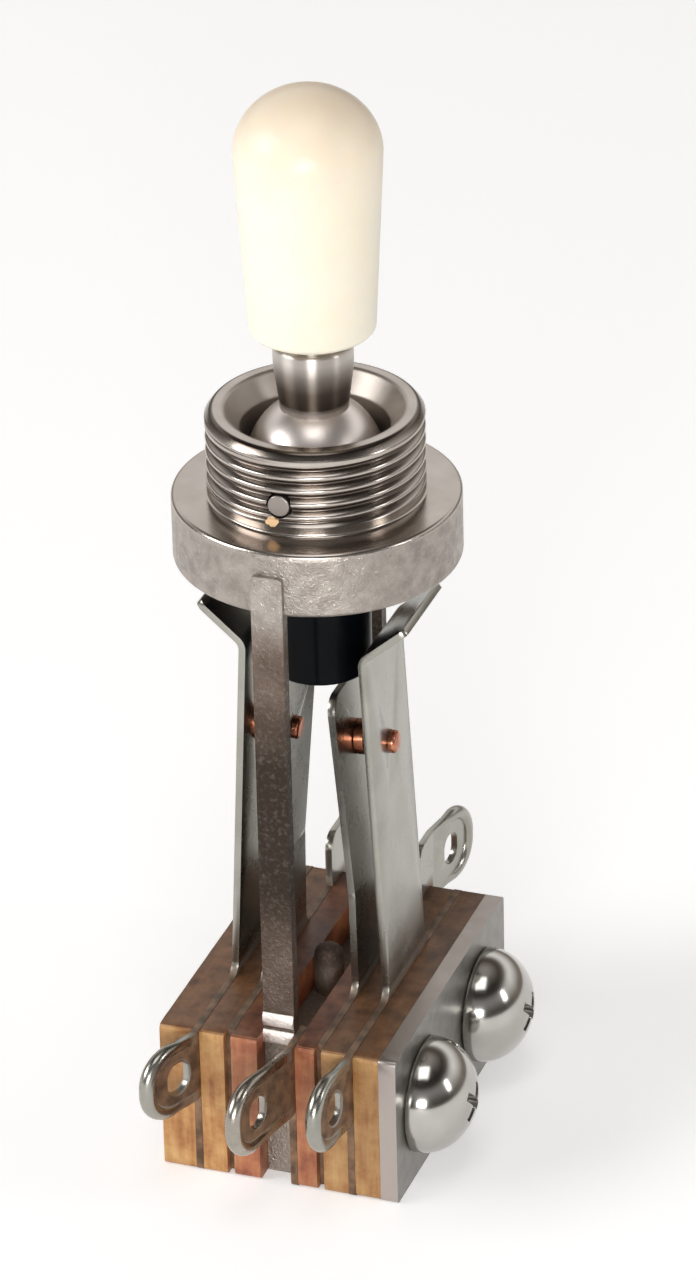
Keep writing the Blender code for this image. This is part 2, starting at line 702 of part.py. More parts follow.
def build_inner_leaf(name, side, base_x, mat):
    """Inner spring leaf: clamped plate, raised rear lug and leaning blade in one stamping."""
    rear = -stack_front
    front = stack_front + INNER_LEAF_RECESS
    lug_end = rear + REAR_LUG_LENGTH
    lug_top = stack_top + REAR_LUG_RISE
    lug_low = lug_top - LUG_HEIGHT
    lug_front = rear - REAR_LUG_ROOT
    corners = [
        (front, stack_base, PAD_CORNER_RADIUS),
        (rear, stack_base, PAD_CORNER_RADIUS),
        (rear, lug_low, 0),
        (lug_end, lug_low, LUG_END_RADIUS),
        (lug_end, lug_top, LUG_END_RADIUS),
        (lug_front, lug_top, LUG_END_RADIUS / 2),
        (lug_front, stack_top, 0),
        *blade_outline(inner_tip_z, INNER_CORNER_RADIUS),
        (front, stack_top, PAD_CORNER_RADIUS),
    ]
    lug_hole = slot_hole(lug_end - LUG_HOLE_INSET, (lug_top + lug_low) / 2, LUG_HOLE_WIDTH, LUG_HOLE_HEIGHT)
    holes = screw_holes(hole_diameter) + [leaf_hole(), lug_hole]
    blade = inner_blade_path(base_x, side)
    lug = rear_lug_path(side * REAR_LUG_BEND)
    return pressed_sheet(name, rounded_path(corners), holes, mat, base_x, blade, lug)


def build_ground_lug(mat):
    """Grounding plate beside the foot, cut low inside the frame, with the middle front lug."""
    low_top = stack_top - FOOT_TOP_DEPTH
    strap_end = -(ARM_SPAN / 2 - ARM_THICKNESS) + FOOT_FILLET
    corners = [
        (stack_front, stack_base, PAD_CORNER_RADIUS),
        (-stack_front, stack_base, PAD_CORNER_RADIUS),
        (-stack_front, low_top, PAD_CORNER_RADIUS),
        (strap_end, low_top, FOOT_FILLET),
        (strap_end, stack_top, FOOT_FILLET),
        *front_lug_corners(GROUND_LUG_LENGTH),
    ]
    holes = screw_holes(hole_diameter) + [front_lug_hole(GROUND_LUG_LENGTH)]
    middle_x = layer_x["ground_lug"] + GROUND_PLATE_THICKNESS / 2
    lug = front_lug_path(GROUND_LUG_LENGTH, GROUND_LUG_BEND)
    sheet = pressed_sheet("ground_lug", rounded_path(corners), holes, mat, middle_x, lug=lug)
    sheet.modifiers["sheet thickness"].thickness = GROUND_PLATE_THICKNESS
    return sheet


def blade_place(path, z):
    """Middle of a blade at a height, and the blade's slope there, in X for each unit of Z."""
    step = CONTACT_SHANK_DIAMETER / 2
    slope = (interpolate(path, z + step) - interpolate(path, z - step)) / (2 * step)
    return interpolate(path, z), slope


def rivet_profile(head_height):
    """Rivet along Z, with its head upward and the sheet's middle at Z = 0."""
    half_sheet = LEAF_THICKNESS / 2
    shank_r = CONTACT_SHANK_DIAMETER / 2
    tail_r = CONTACT_TAIL_DIAMETER / 2
    head_r = CONTACT_DIAMETER / 2
    tail_seat = -half_sheet - CONTACT_SEAT
    head_seat = half_sheet + CONTACT_SEAT
    head_edge = half_sheet + head_height - CONTACT_DOME
    return rounded_path([
        (0, tail_seat - CONTACT_TAIL_HEIGHT, 0),
        (tail_r, tail_seat - CONTACT_TAIL_HEIGHT, CONTACT_TAIL_RADIUS),
        (tail_r, tail_seat, 0),
        (shank_r, tail_seat, 0),
        (shank_r, head_seat, 0),
        (head_r, head_seat, 0),
        (head_r, head_edge, CONTACT_DOME),
        (0, half_sheet + head_height, 0),
    ], closed=False)


def build_contacts(side, outer_x, inner_x, mat):
    """Facing pair of rivets in the outer and inner leaf of one side, each square to its leaf."""
    name = "right" if side > 0 else "left"
    z = -CONTACT_DROP
    outer_mid, outer_slope = blade_place(outer_blade_path(outer_x, side), z)
    inner_mid, inner_slope = blade_place(inner_blade_path(inner_x, side), z)
    space = abs(outer_mid - inner_mid) - LEAF_THICKNESS - CONTACT_GAP
    profile = rivet_profile(space / 2)
    swing_x = interpolate(outer_blade_path(outer_x, side), -LEAF_SWING_DROP)
    swing = Vector((swing_x, 0, -LEAF_SWING_DROP))
    outer_axis = Vector((-side, 0, side * outer_slope))
    inner_axis = Vector((side, 0, -side * inner_slope))
    outer = turned_along(revolve(profile, SMALL_SEGMENTS, closed=False), outer_axis, (outer_mid, 0, z))
    inner = turned_along(revolve(profile, SMALL_SEGMENTS, closed=False), inner_axis, (inner_mid, 0, z))
    add_object(name + "_outer_contact", outer, mat, swing)
    add_object(name + "_inner_contact", inner, mat, (inner_mid, 0, z))


def build_pads(mat):
    """Insulating pads between the leaves."""
    pads = {
        "left_outer_pad": LEFT_OUTER_PAD_THICKNESS,
        "left_middle_pad": MIDDLE_PAD_THICKNESS,
        "left_inner_pad": LEFT_INNER_PAD_THICKNESS,
        "ground_pad": GROUND_PAD_THICKNESS,
        "right_middle_pad": MIDDLE_PAD_THICKNESS,
        "right_outer_pad": RIGHT_OUTER_PAD_THICKNESS,
    }
    for name, thickness in pads.items():
        bm = plate(stack_outline(), screw_holes(hole_diameter), layer_x[name], thickness)
        add_object(name, bm, mat)


def build_clamping_plates(mat):
    """Clamp plate under the screw heads, and the smaller backing plate that the screws thread into."""
    clear = screw_holes(SCREW_DIAMETER + 2 * CLAMP_HOLE_CLEARANCE)
    tapped = screw_holes(SCREW_DIAMETER + 2 * PIN_CLEARANCE)
    add_object("clamp_plate", plate(stack_outline(), clear, layer_x["clamp_plate"], CLAMP_THICKNESS), mat)
    backing = plate(stack_outline(BACKING_INSET), tapped, layer_x["backing_plate"], BACKING_THICKNESS)
    add_object("backing_plate", backing, mat)


def build_sleeve(name, y, mat):
    """Insulating tube that keeps a screw clear of the leaves."""
    left = layer_x["backing_plate"] + BACKING_THICKNESS + STACK_CLEARANCE
    right = layer_x["clamp_plate"] - STACK_CLEARANCE
    inner_r = SCREW_DIAMETER / 2 + HOLE_CLEARANCE
    outer_r = SLEEVE_DIAMETER / 2
    profile = [(inner_r, left), (outer_r, left), (outer_r, right), (inner_r, right)]
    bm = turned_along(revolve(profile, SEGMENTS), (1, 0, 0), (0, y, screw_z))
    add_object(name, bm, mat)


def cross_recess(face_x, y):
    """Tapered cross, turned by an eighth, that is cut into a screw head."""
    arm, half = RECESS_SPAN / 2, RECESS_WIDTH / 2
    cross = [
        (arm, -half), (arm, half), (half, half), (half, arm), (-half, arm), (-half, half),
        (-arm, half), (-arm, -half), (-half, -half), (-half, -arm), (half, -arm), (half, -half),
    ]
    bm = plate(cross, [], -RECESS_DEPTH, 2 * RECESS_DEPTH)
    for vert in bm.verts:
        if vert.co.x < 0:
            vert.co.yz = vert.co.yz * RECESS_TAPER
    bm.transform(Matrix.Translation((face_x, y, screw_z)) @ Matrix.Rotation(math.pi / 4, 4, "X"))
    return bm


def build_screw(name, y, mat):
    """Pan head screw: head on the clamp plate, shank through the stack, end flush at the back."""
    head_seat = layer_x["clamp_plate"] + CLAMP_THICKNESS + STACK_CLEARANCE
    face = head_seat + HEAD_HEIGHT
    head_r = HEAD_DIAMETER / 2
    shank_r = SCREW_DIAMETER / 2
    profile = rounded_path([
        (0, layer_x["backing_plate"], 0),
        (shank_r, layer_x["backing_plate"], SCREW_END_RADIUS),
        (shank_r, head_seat, 0),
        (head_r, head_seat, HEAD_SEAT_RADIUS),
        (head_r, face - HEAD_DOME, HEAD_DOME),
        (HEAD_FACE_DIAMETER / 2, face, HEAD_DOME),
        (0, face, 0),
    ], closed=False)
    bm = turned_along(revolve(profile, SEGMENTS, closed=False), (1, 0, 0), (0, y, screw_z))
    screw = add_object(name, bm, mat)
    boolean(screw, add_cutter(name + " recess", cross_recess(face, y)), "DIFFERENCE")
    return screw


def build_switch():
    cast_nickel = material("nickel-plated zinc casting", (0.33, 0.29, 0.25), 0.42, 1.0)
    turned_steel = material("nickel-plated turned steel", (0.55, 0.52, 0.48), 0.28, 1.0)
    spring_metal = material("nickel silver spring sheet", (0.42, 0.42, 0.38), 0.38, 1.0)
    tinned_brass = material("tinned brass", (0.48, 0.47, 0.42), 0.35, 1.0)
    plated_steel = material("nickel-plated steel", (0.52, 0.52, 0.51), 0.3, 1.0)
    contact_copper = material("contact copper", (0.46, 0.1, 0.035), 0.35, 1.0)
    ivory = material("ivory moulded plastic", (0.98, 0.89, 0.72), 0.22, 0.0)
    black = material("black moulded nylon", (0.012, 0.013, 0.018), 0.4, 0.0)
    phenolic = material("phenolic paper laminate", (0.44, 0.19, 0.06), 0.55, 0.0)
    fibre = material("insulating tube", (0.16, 0.05, 0.03), 0.6, 0.0)

    build_frame(cast_nickel)
    build_pin(turned_steel)
    build_lever(turned_steel)
    build_tip(ivory)
    build_plunger(black)
    build_outer_leaf("left_outer_leaf", -1, left_outer_x, LEFT_LUG_LENGTH, LEFT_LUG_BEND, spring_metal)
    build_outer_leaf("right_outer_leaf", 1, right_outer_x, RIGHT_LUG_LENGTH, RIGHT_LUG_BEND, spring_metal)
    build_inner_leaf("left_inner_leaf", -1, left_inner_x, spring_metal)
    build_inner_leaf("right_inner_leaf", 1, right_inner_x, spring_metal)
    build_contacts(-1, left_outer_x, left_inner_x, contact_copper)
    build_contacts(1, right_outer_x, right_inner_x, contact_copper)
    build_ground_lug(tinned_brass)
    build_pads(phenolic)
    build_clamping_plates(plated_steel)
    build_sleeve("front_sleeve", -SCREW_PITCH / 2, fibre)
    build_sleeve("rear_sleeve", SCREW_PITCH / 2, fibre)
    build_screw("front_screw", -SCREW_PITCH / 2, plated_steel)
    build_screw("rear_screw", SCREW_PITCH / 2, plated_steel)


clear_scene()
build_switch()
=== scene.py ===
# %% [markdown]
# # A selector switch, dressed for its picture
# The solids of this switch come ready made from its CAD model: a cast frame, a lever with an ivory tip, four
# spring leaves and a stack of brown insulators. They are simple, so this notebook builds a finer piece over almost
# every one of them, gives each the finish of the real metal or plastic, and lights the result like a catalogue
# picture. Loading comes first, because every later size is read from the solids or set against them.

# %% Load the solids and keep their box
import math
import random

import bmesh
import bpy
from mathutils import Matrix, Vector, noise


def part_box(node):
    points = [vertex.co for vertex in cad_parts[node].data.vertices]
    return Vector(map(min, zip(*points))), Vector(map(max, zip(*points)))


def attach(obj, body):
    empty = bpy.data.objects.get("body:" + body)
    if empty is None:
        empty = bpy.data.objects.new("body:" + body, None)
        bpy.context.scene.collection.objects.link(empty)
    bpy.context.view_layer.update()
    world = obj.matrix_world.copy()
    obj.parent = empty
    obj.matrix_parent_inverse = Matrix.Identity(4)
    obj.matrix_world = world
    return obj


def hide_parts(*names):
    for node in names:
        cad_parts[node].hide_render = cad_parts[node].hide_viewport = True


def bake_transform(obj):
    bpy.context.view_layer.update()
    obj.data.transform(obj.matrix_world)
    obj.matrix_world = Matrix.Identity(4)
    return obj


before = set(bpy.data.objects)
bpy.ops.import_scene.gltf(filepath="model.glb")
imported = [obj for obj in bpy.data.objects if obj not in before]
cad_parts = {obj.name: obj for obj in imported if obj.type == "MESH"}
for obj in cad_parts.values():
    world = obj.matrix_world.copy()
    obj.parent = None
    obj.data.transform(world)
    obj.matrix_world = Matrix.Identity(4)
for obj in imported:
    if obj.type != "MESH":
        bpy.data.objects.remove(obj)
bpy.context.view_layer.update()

# %% [markdown]
# The switch is 63 mm tall and its leaves are 0.4 mm thick, so millimetres are the natural unit. Everything below is
# written in millimetres, and one factor turns it into Blender's metres when a mesh is finished. The solids are read
# back in the same unit.

# %% Millimetres
MM = 0.001


def solid_box(node):
    """Lowest and highest corner of one CAD solid, in millimetres."""
    low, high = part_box(node)
    return low / MM, high / MM


stack_low, stack_high = solid_box("clamp_plate")
STACK_BASE = stack_low.z
STACK_TOP = stack_high.z
STACK_FRONT = stack_low.y
STACK_REAR = -STACK_FRONT
print("stack from", STACK_BASE, "to", STACK_TOP, "front at", STACK_FRONT)

# %% [markdown]
# ## Camera
# The photograph looks down on the switch from its front right, through a long lens, which keeps upright edges
# almost parallel. The numbers come from fitting a camera to the round rims and straight edges of the picture. A
# camera looks along its own -Z, so its three axes are worked out from the two viewing angles and a small roll.

# %% The camera
AZIMUTH = math.radians(20.13)
ELEVATION = math.radians(28.669)
ROLL = math.radians(-1.395)
CAMERA_PLACE = (117.70, -316.75, 175.25)
PICTURE_HEIGHT = 1280
FOCAL_PIXELS = 7000
SENSOR = 36

ahead = Vector((
    -math.sin(AZIMUTH) * math.cos(ELEVATION),
    math.cos(AZIMUTH) * math.cos(ELEVATION),
    -math.sin(ELEVATION),
))
level = Vector((math.cos(AZIMUTH), math.sin(AZIMUTH), 0))
upward = level.cross(ahead)
right = level * math.cos(ROLL) + upward * math.sin(ROLL)
up = upward * math.cos(ROLL) - level * math.sin(ROLL)

camera_data = bpy.data.cameras.new("camera")
camera_data.sensor_width = SENSOR
camera_data.lens = FOCAL_PIXELS / PICTURE_HEIGHT * SENSOR
camera_data.clip_start = 0.01
camera = bpy.data.objects.new("camera", camera_data)
turn = Matrix((right, up, -ahead)).transposed().to_4x4()
camera.matrix_world = Matrix.Translation(Vector(CAMERA_PLACE) * MM) @ turn
bpy.context.scene.collection.objects.link(camera)
bpy.context.scene.camera = camera
print("camera lens", round(camera_data.lens, 1), "mm")

# %% [markdown]
# ## Colours and shader nodes
# Colours are written as the hex values that a screen shows. Blender's shaders work in linear light, so one function
# translates. A material is a small network of nodes; one helper adds a node, gives it its settings and links its
# inputs. The helpers after it are short names for the nodes that nearly every finish needs, such as a noise with its
# size in millimetres. Each one finds the network through the socket it is given, so that a finish reads from top to
# bottom as a recipe.

# %% Colours, nodes and materials


def linear(hex_colour, alpha=1.0):
    """Linear colour of an sRGB hex value."""
    channels = [int(hex_colour[i:i + 2], 16) / 255 for i in (1, 3, 5)]
    return (*[c / 12.92 if c <= 0.04045 else ((c + 0.055) / 1.055) ** 2.4 for c in channels], alpha)


def add_node(tree, kind, settings=None, links=None):
    """Adds a node, sets its properties, sockets or ramp stops, and links its inputs."""
    node = tree.nodes.new("ShaderNode" + kind)
    for key, value in (settings or {}).items():
        if key == "stops":
            elements = node.color_ramp.elements
            while len(elements) < len(value):
                elements.new(1)
            for element, (position, colour) in zip(elements, value):
                element.position = position
                element.color = linear(colour)
        elif isinstance(key, int) or key in node.inputs:
            node.inputs[key].default_value = value
        else:
            setattr(node, key, value)
    for key, socket in (links or {}).items():
        tree.links.new(socket, node.inputs[key])
    return node


def new_finish(name, settings):
    """Material with its main shader set, and the piece's own coordinates in millimetres."""
    material = bpy.data.materials.new(name)
    material.use_nodes = True
    tree = material.node_tree
    shader = tree.nodes["Principled BSDF"]
    for key, value in settings.items():
        shader.inputs[key].default_value = value
    place = add_node(tree, "TexCoord").outputs["Object"]
    in_mm = add_node(tree, "VectorMath", {"operation": "SCALE", "Scale": 1 / MM}, {0: place})
    return material, tree, shader, in_mm.outputs["Vector"]


def feed(shader, sockets):
    """Links sockets to the inputs of a shader, by name."""
    for name, socket in sockets.items():
        shader.id_data.links.new(socket, shader.inputs[name])


print("white paper is", linear("#FFFFFF"))

# %% Short names for common nodes


def maths(operation, *terms):
    """Result of one operation on numbers and sockets."""
    numbers = {index: term for index, term in enumerate(terms) if isinstance(term, float)}
    sockets = {index: term for index, term in enumerate(terms) if index not in numbers}
    tree = next(iter(sockets.values())).id_data
    return add_node(tree, "Math", {"operation": operation, **numbers}, sockets).outputs[0]


def times(product, *factors):
    """Product of masks."""
    for factor in factors:
        product = maths("MULTIPLY", product, factor)
    return product


def mapped(value, start, end, low=0.0, high=1.0):
    """Runs from low to high while a value runs from start to end, and stays level outside."""
    ends = {"From Min": start, "From Max": end, "To Min": low, "To Max": high}
    return add_node(value.id_data, "MapRange", ends, {"Value": value}).outputs["Result"]


def between(share, low, high):
    """Number between two others, by a share from 0 to 1."""
    return mapped(share, 0.0, 1.0, low, high)


def mixed(share, *colours):
    """Colour between two, each a hex value or a socket; the second shows where the share is 1."""
    fixed = {6 + index: linear(colour) for index, colour in enumerate(colours) if isinstance(colour, str)}
    linked = {6 + index: colour for index, colour in enumerate(colours) if not isinstance(colour, str)}
    return add_node(share.id_data, "Mix", {"data_type": "RGBA", **fixed}, {0: share, **linked}).outputs[2]


def ramp(value, *stops):
    """Colour by a value, from (position, hex colour) stops."""
    return add_node(value.id_data, "ValToRGB", {"stops": stops}, {"Fac": value}).outputs["Color"]


def two_tone(value, dark, light, edge=0.3):
    """Colour that turns from dark to light over the middle of a noise."""
    return ramp(value, (edge, dark), (1 - edge, light))


def speckle(place, size, detail=2.0, **more):
    """Noise with blots of one size in millimetres."""
    settings = {"Scale": 1 / size, "Detail": detail, **more}
    return add_node(place.id_data, "TexNoise", settings, {"Vector": place}).outputs[0]


def squeezed(place, *sizes):
    """Coordinates in which a noise of size 1 has blots of these sizes along X, Y and Z."""
    factors = tuple(1 / size for size in sizes)
    return add_node(place.id_data, "VectorMath", {"operation": "MULTIPLY", 1: factors}, {0: place}).outputs[0]


def relief(shader, height, depth):
    """Bump on a shader, with its depth in millimetres."""
    bump = add_node(shader.id_data, "Bump", {"Distance": depth * MM}, {"Height": height})
    feed(shader, {"Normal": bump.outputs[0]})


def axes_of(vector):
    """The X, Y and Z of a vector, each a socket."""
    return tuple(add_node(vector.id_data, "SeparateXYZ", links={0: vector}).outputs)


def from_centre(u, v):
    """Distance from the centre of a plane."""
    offset = add_node(u.id_data, "CombineXYZ", links={"X": u, "Y": v}).outputs[0]
    return add_node(u.id_data, "VectorMath", {"operation": "LENGTH"}, {0: offset}).outputs["Value"]


print("short names ready")

# %% [markdown]
# ## Floor, room and lamps
# The picture has a white ground with soft grey shadows. A matte pale floor gives both: it is bright because it is
# pale, and it keeps the shadow that the switch casts. A faint glow, which is seen directly and in mirrors but lights
# no dull surface, brings it the rest of the way to white paper.
#
# Metal has no colour of its own to speak of and shows its surroundings, so the room matters as much as the lamps. In
# the photograph the metal that faces the viewer is dark brown, and the metal that faces up is pale. A flat top
# mirrors the wall behind it at the camera's own height, 29 degrees up. So a white band runs round the wall there,
# with dim brown above and below it, and the wall behind the switch is brighter than the one in front. Four
# softboxes draw the sharp white lines along the metal.

# %% The floor
FLOOR_REACH = 1500
PAPER_LIFT = 0.31

floor_mesh = bpy.data.meshes.new("floor")
floor_corners = [(-FLOOR_REACH, -FLOOR_REACH), (FLOOR_REACH, -FLOOR_REACH), (FLOOR_REACH, FLOOR_REACH),
                 (-FLOOR_REACH, FLOOR_REACH)]
floor_points = [Vector((x, y, STACK_BASE)) * MM for x, y in floor_corners]
floor_mesh.from_pydata(floor_points, [], [tuple(range(len(floor_points)))])
floor = bpy.data.objects.new("floor", floor_mesh)
bpy.context.scene.collection.objects.link(floor)
paper, tree, shader, place = new_finish("matte white paper ground", {
    "Roughness": 0.9, "Specular IOR Level": 0.1, "Base Color": linear("#F4F4F4"),
    "Emission Color": linear("#FFFFFF"),
})
rays = add_node(tree, "LightPath").outputs
seen = maths("ADD", rays["Is Camera Ray"], rays["Is Glossy Ray"])
seen = maths("ADD", seen, rays["Is Transmission Ray"])
feed(shader, {"Emission Strength": mapped(seen, 0.0, 1.0, 0.0, PAPER_LIFT)})
floor_mesh.materials.append(paper)
print("floor at z", STACK_BASE)

# %% The room
DIM_FROM, BRIGHT_FROM = -0.1, 0.5
DIM_WALL, BRIGHT_WALL = 0.32, 1.15

world = bpy.data.worlds.new("studio room")
world.use_nodes = True
bpy.context.scene.world = world
room = world.node_tree
direction = add_node(room, "TexCoord").outputs["Generated"]
_, depth, height = axes_of(direction)
# Stops run by height from straight down (0) over the horizon (0.5) to straight up (1).
walls = ramp(
    mapped(height, -1.0, 1.0),
    (0.30, "#3A3029"), (0.46, "#4A3E35"), (0.50, "#7A7068"), (0.58, "#8E867E"), (0.67, "#DCDAD7"), (0.73, "#FFFFFF"),
    (0.78, "#F4F2F0"), (0.84, "#6B635C"), (0.90, "#47403A"), (0.955, "#8F8983"), (1.0, "#D0CBC6"),
)
behind = mapped(depth, DIM_FROM, BRIGHT_FROM, DIM_WALL, BRIGHT_WALL)
lit = add_node(room, "VectorMath", {"operation": "SCALE"}, {0: walls, "Scale": behind}).outputs[0]
feed(room.nodes["Background"], {"Color": lit})
print("room made")

# %% The lamps


def softbox(name, azimuth, elevation, distance, width, height, watts):
    """Area lamp that faces the switch from a direction in degrees; its size and distance in mm."""
    data = bpy.data.lights.new(name, "AREA")
    data.shape = "RECTANGLE"
    data.size = width * MM
    data.size_y = height * MM
    data.energy = watts
    lamp = bpy.data.objects.new(name, data)
    a, e = math.radians(azimuth), math.radians(elevation)
    back = Vector((math.sin(a) * math.cos(e), -math.cos(a) * math.cos(e), math.sin(e)))
    lamp.location = back * distance * MM
    lamp.rotation_euler = back.to_track_quat("Z", "Y").to_euler()
    bpy.context.scene.collection.objects.link(lamp)


softbox("left window", -58, 26, 800, 420, 300, 3.4)
softbox("front lamp", 15, 9, 700, 240, 110, 2.6)
softbox("right strip", 88, 22, 700, 90, 220, 0.6)
softbox("overhead", 15, 72, 800, 380, 380, 1.15)

# %% [markdown]
# ## Finishes
# ### Nickel-plated zinc casting
# The frame is poured zinc under a thin coat of nickel. Nickel is a little yellower and darker than chrome. Where the
# casting was machined, on the thread and the top of the flange, it shines like a mirror. Where it is as cast, on the
# flange's rim and the arms, the skin is pebbled like orange peel, and fine glossy flecks in it catch the lamps. Two
# noise patterns at the pebbles' real size drive a bump, and a height mask keeps it off the machined part.
#
# The rest follows what the photograph shows: the roots of the thread are painted dark as painted shade, and the arms
# are duller and painted brown as a dark painted reflection, darkest in their middle and paler at the foot. The beads
# at their top are painted bright as a painted highlight, and one warm spot beside the pin is taken for a chip in the
# plating. These colours are darker than clean nickel, because the pale floor lights this switch from below more than
# the photographer's did.

# %% Cast nickel
# Each pair is the place where a mask starts and the place where it is full, in mm.
CAST_BELOW, ARM_BELOW, FOOT_BELOW = (-0.1, -0.45), (-3.7, -6.0), (-29.5, -31.0)
PAINTED_DARK_BELOW, PAINTED_DARK_ABOVE = (-8.0, -13.0), (-26.0, -21.0)
THREAD_ABOVE, ROOT_WITHIN, ROOT_BEYOND = (0.1, 0.5), (5.98, 5.76), (5.5, 5.6)
FUNNEL_WITHIN, BEAD_HIGHLIGHT_BEYOND = (5.15, 4.85), (8.3, 8.36)
PEBBLE, FINE_PEBBLE, PEBBLE_DEPTH = 0.26, 0.1, 0.11
FLECK, MOTTLE, TARNISH = 0.26, 0.8, 2.5
CHIP_PLACE, CHIP_RADIUS, CHIP_EDGE = (-0.42, -5.95, 0.78), 0.5, 0.25

cast_nickel, tree, shader, place = new_finish("nickel-plated zinc casting", {"Metallic": 1.0})
x, y, z = axes_of(place)
from_axis = from_centre(x, y)
as_cast, on_arm = mapped(z, *CAST_BELOW), mapped(z, *ARM_BELOW)
pebbles = {2: speckle(place, PEBBLE, 3.0, Roughness=0.65), 3: speckle(place, FINE_PEBBLE)}
skin = add_node(tree, "Mix", {0: 0.45}, pebbles).outputs[0]
relief(shader, times(skin, as_cast), PEBBLE_DEPTH)

flecks = mapped(speckle(place, FLECK), 0.5, 0.72)
sparkle = times(flecks, as_cast)
rough = maths("MULTIPLY_ADD", on_arm, 0.06, between(as_cast, 0.22, 0.42))
rough = maths("MULTIPLY_ADD", mapped(from_axis, *FUNNEL_WITHIN), 0.24, rough)
rough = maths("MULTIPLY_ADD", sparkle, -0.2, rough)

tarnish = speckle(place, TARNISH, 5.0)
bright = two_tone(tarnish, "#AEA59D", "#BDB5AD")
# Painted shade: the roots of the thread are darker.
painted_root_shade = times(mapped(z, *THREAD_ABOVE), mapped(from_axis, *ROOT_WITHIN), mapped(from_axis, *ROOT_BEYOND))
machined = mixed(painted_root_shade, bright, "#635A53")
rim = two_tone(speckle(place, MOTTLE, 4.0), "#978F88", "#B0A8A0", 0.35)
# Painted dark reflection: the arms are brown, darkest in their middle band and paler at the foot.
painted_dark_middle = times(mapped(z, *PAINTED_DARK_BELOW), mapped(z, *PAINTED_DARK_ABOVE))
arm = mixed(painted_dark_middle, two_tone(tarnish, "#5A4C43", "#7C6D63"), "#3E352E")
arm = mixed(mapped(z, *FOOT_BELOW, 0.0, 0.6), arm, "#B5ABA0")
tint = mixed(on_arm, mixed(as_cast, machined, rim), arm)
# The flecks are also painted a little lighter: a painted glint.
tint = mixed(times(sparkle, 0.05), tint, "#F4EDE6")
# Painted highlight: the beads on the arms are near white.
tint = mixed(mapped(maths("ABSOLUTE", y), *BEAD_HIGHLIGHT_BEYOND), tint, "#F3ECE6")

gap = add_node(tree, "VectorMath", {"operation": "DISTANCE", 1: CHIP_PLACE}, {0: place}).outputs["Value"]
ragged = maths("MULTIPLY_ADD", speckle(place, CHIP_EDGE), 0.3, gap)
chipped = maths("LESS_THAN", ragged, CHIP_RADIUS)
tint = mixed(chipped, tint, "#E2BF95")
feed(shader, {"Base Color": tint, "Roughness": rough, "Metallic": maths("SUBTRACT", 1.0, chipped)})
print("made", cast_nickel.name)

# %% [markdown]
# ### Turned steel
# The lever is turned on a lathe, and the tool leaves rings too fine to see. They still stretch each lamp's
# reflection into an upright streak along the shaft. Drawing the rings would need a groove every 0.02 mm, so the
# shader's anisotropy does it: its direction is taken around the lever's axis and then turned by a quarter, which
# stands the streak upright. The ball stays plain. A ramp by height paints light and shade into the colour: the ball
# is painted pale, a painted highlight, and the dark band where the ball meets the shaft is a painted reflection.

# %% Turned steel
SHAFT_ABOVE = (5.3, 5.6)
BANDS_FROM, BANDS_TO = 2.0, 10.0
SMUDGE = 1.5

turned_steel, tree, shader, place = new_finish("nickel-plated turned steel", {
    "Metallic": 1.0, "Anisotropic Rotation": 0.25,
})
z = axes_of(place)[2]
# Painted light and shade by height: a painted highlight on the ball, and a dark painted reflection where it meets the
# shaft.
painted_light_bands = ramp(
    mapped(z, BANDS_FROM, BANDS_TO),
    (0.05, "#9A928C"), (0.12, "#EAE1DB"), (0.41, "#EAE1DB"), (0.45, "#5A5047"), (0.57, "#645A51"), (0.70, "#9E968E"),
    (0.79, "#CFC9C2"),
)
feed(shader, {
    "Base Color": painted_light_bands, "Anisotropic": mapped(z, *SHAFT_ABOVE, 0.0, 0.93),
    "Tangent": add_node(tree, "Tangent", {"direction_type": "RADIAL", "axis": "Z"}).outputs[0],
    "Roughness": between(speckle(place, SMUDGE, 3.0), 0.3, 0.42),
})
print("made", turned_steel.name)

# %% [markdown]
# ### Soldering flux and painted reflection
# The front lugs and the metal in the stack are painted brown: partly the soldering flux they carry, and partly a
# painted reflection of the brown insulators and painted shade between the layers. The thick lips of the lugs and the
# rims of their holes stay bright tin. The brown is dull where the metal shines. It is a mask in the side view: near
# the middle of a lug's round end, but away from the hole in it.

# %% Flux and painted reflection
LEFT_LUG, RIGHT_LUG, GROUND_LUG = 4.0, 4.4, 6.0
LUG_MIDDLE_BACK, LUG_MIDDLE_DOWN = 1.95, 2.15
BROWN_CORE, BROWN_EDGE = 1.5, 0.12
HOLE_BACK, HOLE_SQUASH, HOLE_RIM = 0.3, 0.77, (0.84, 0.9)
BLOT = 0.9


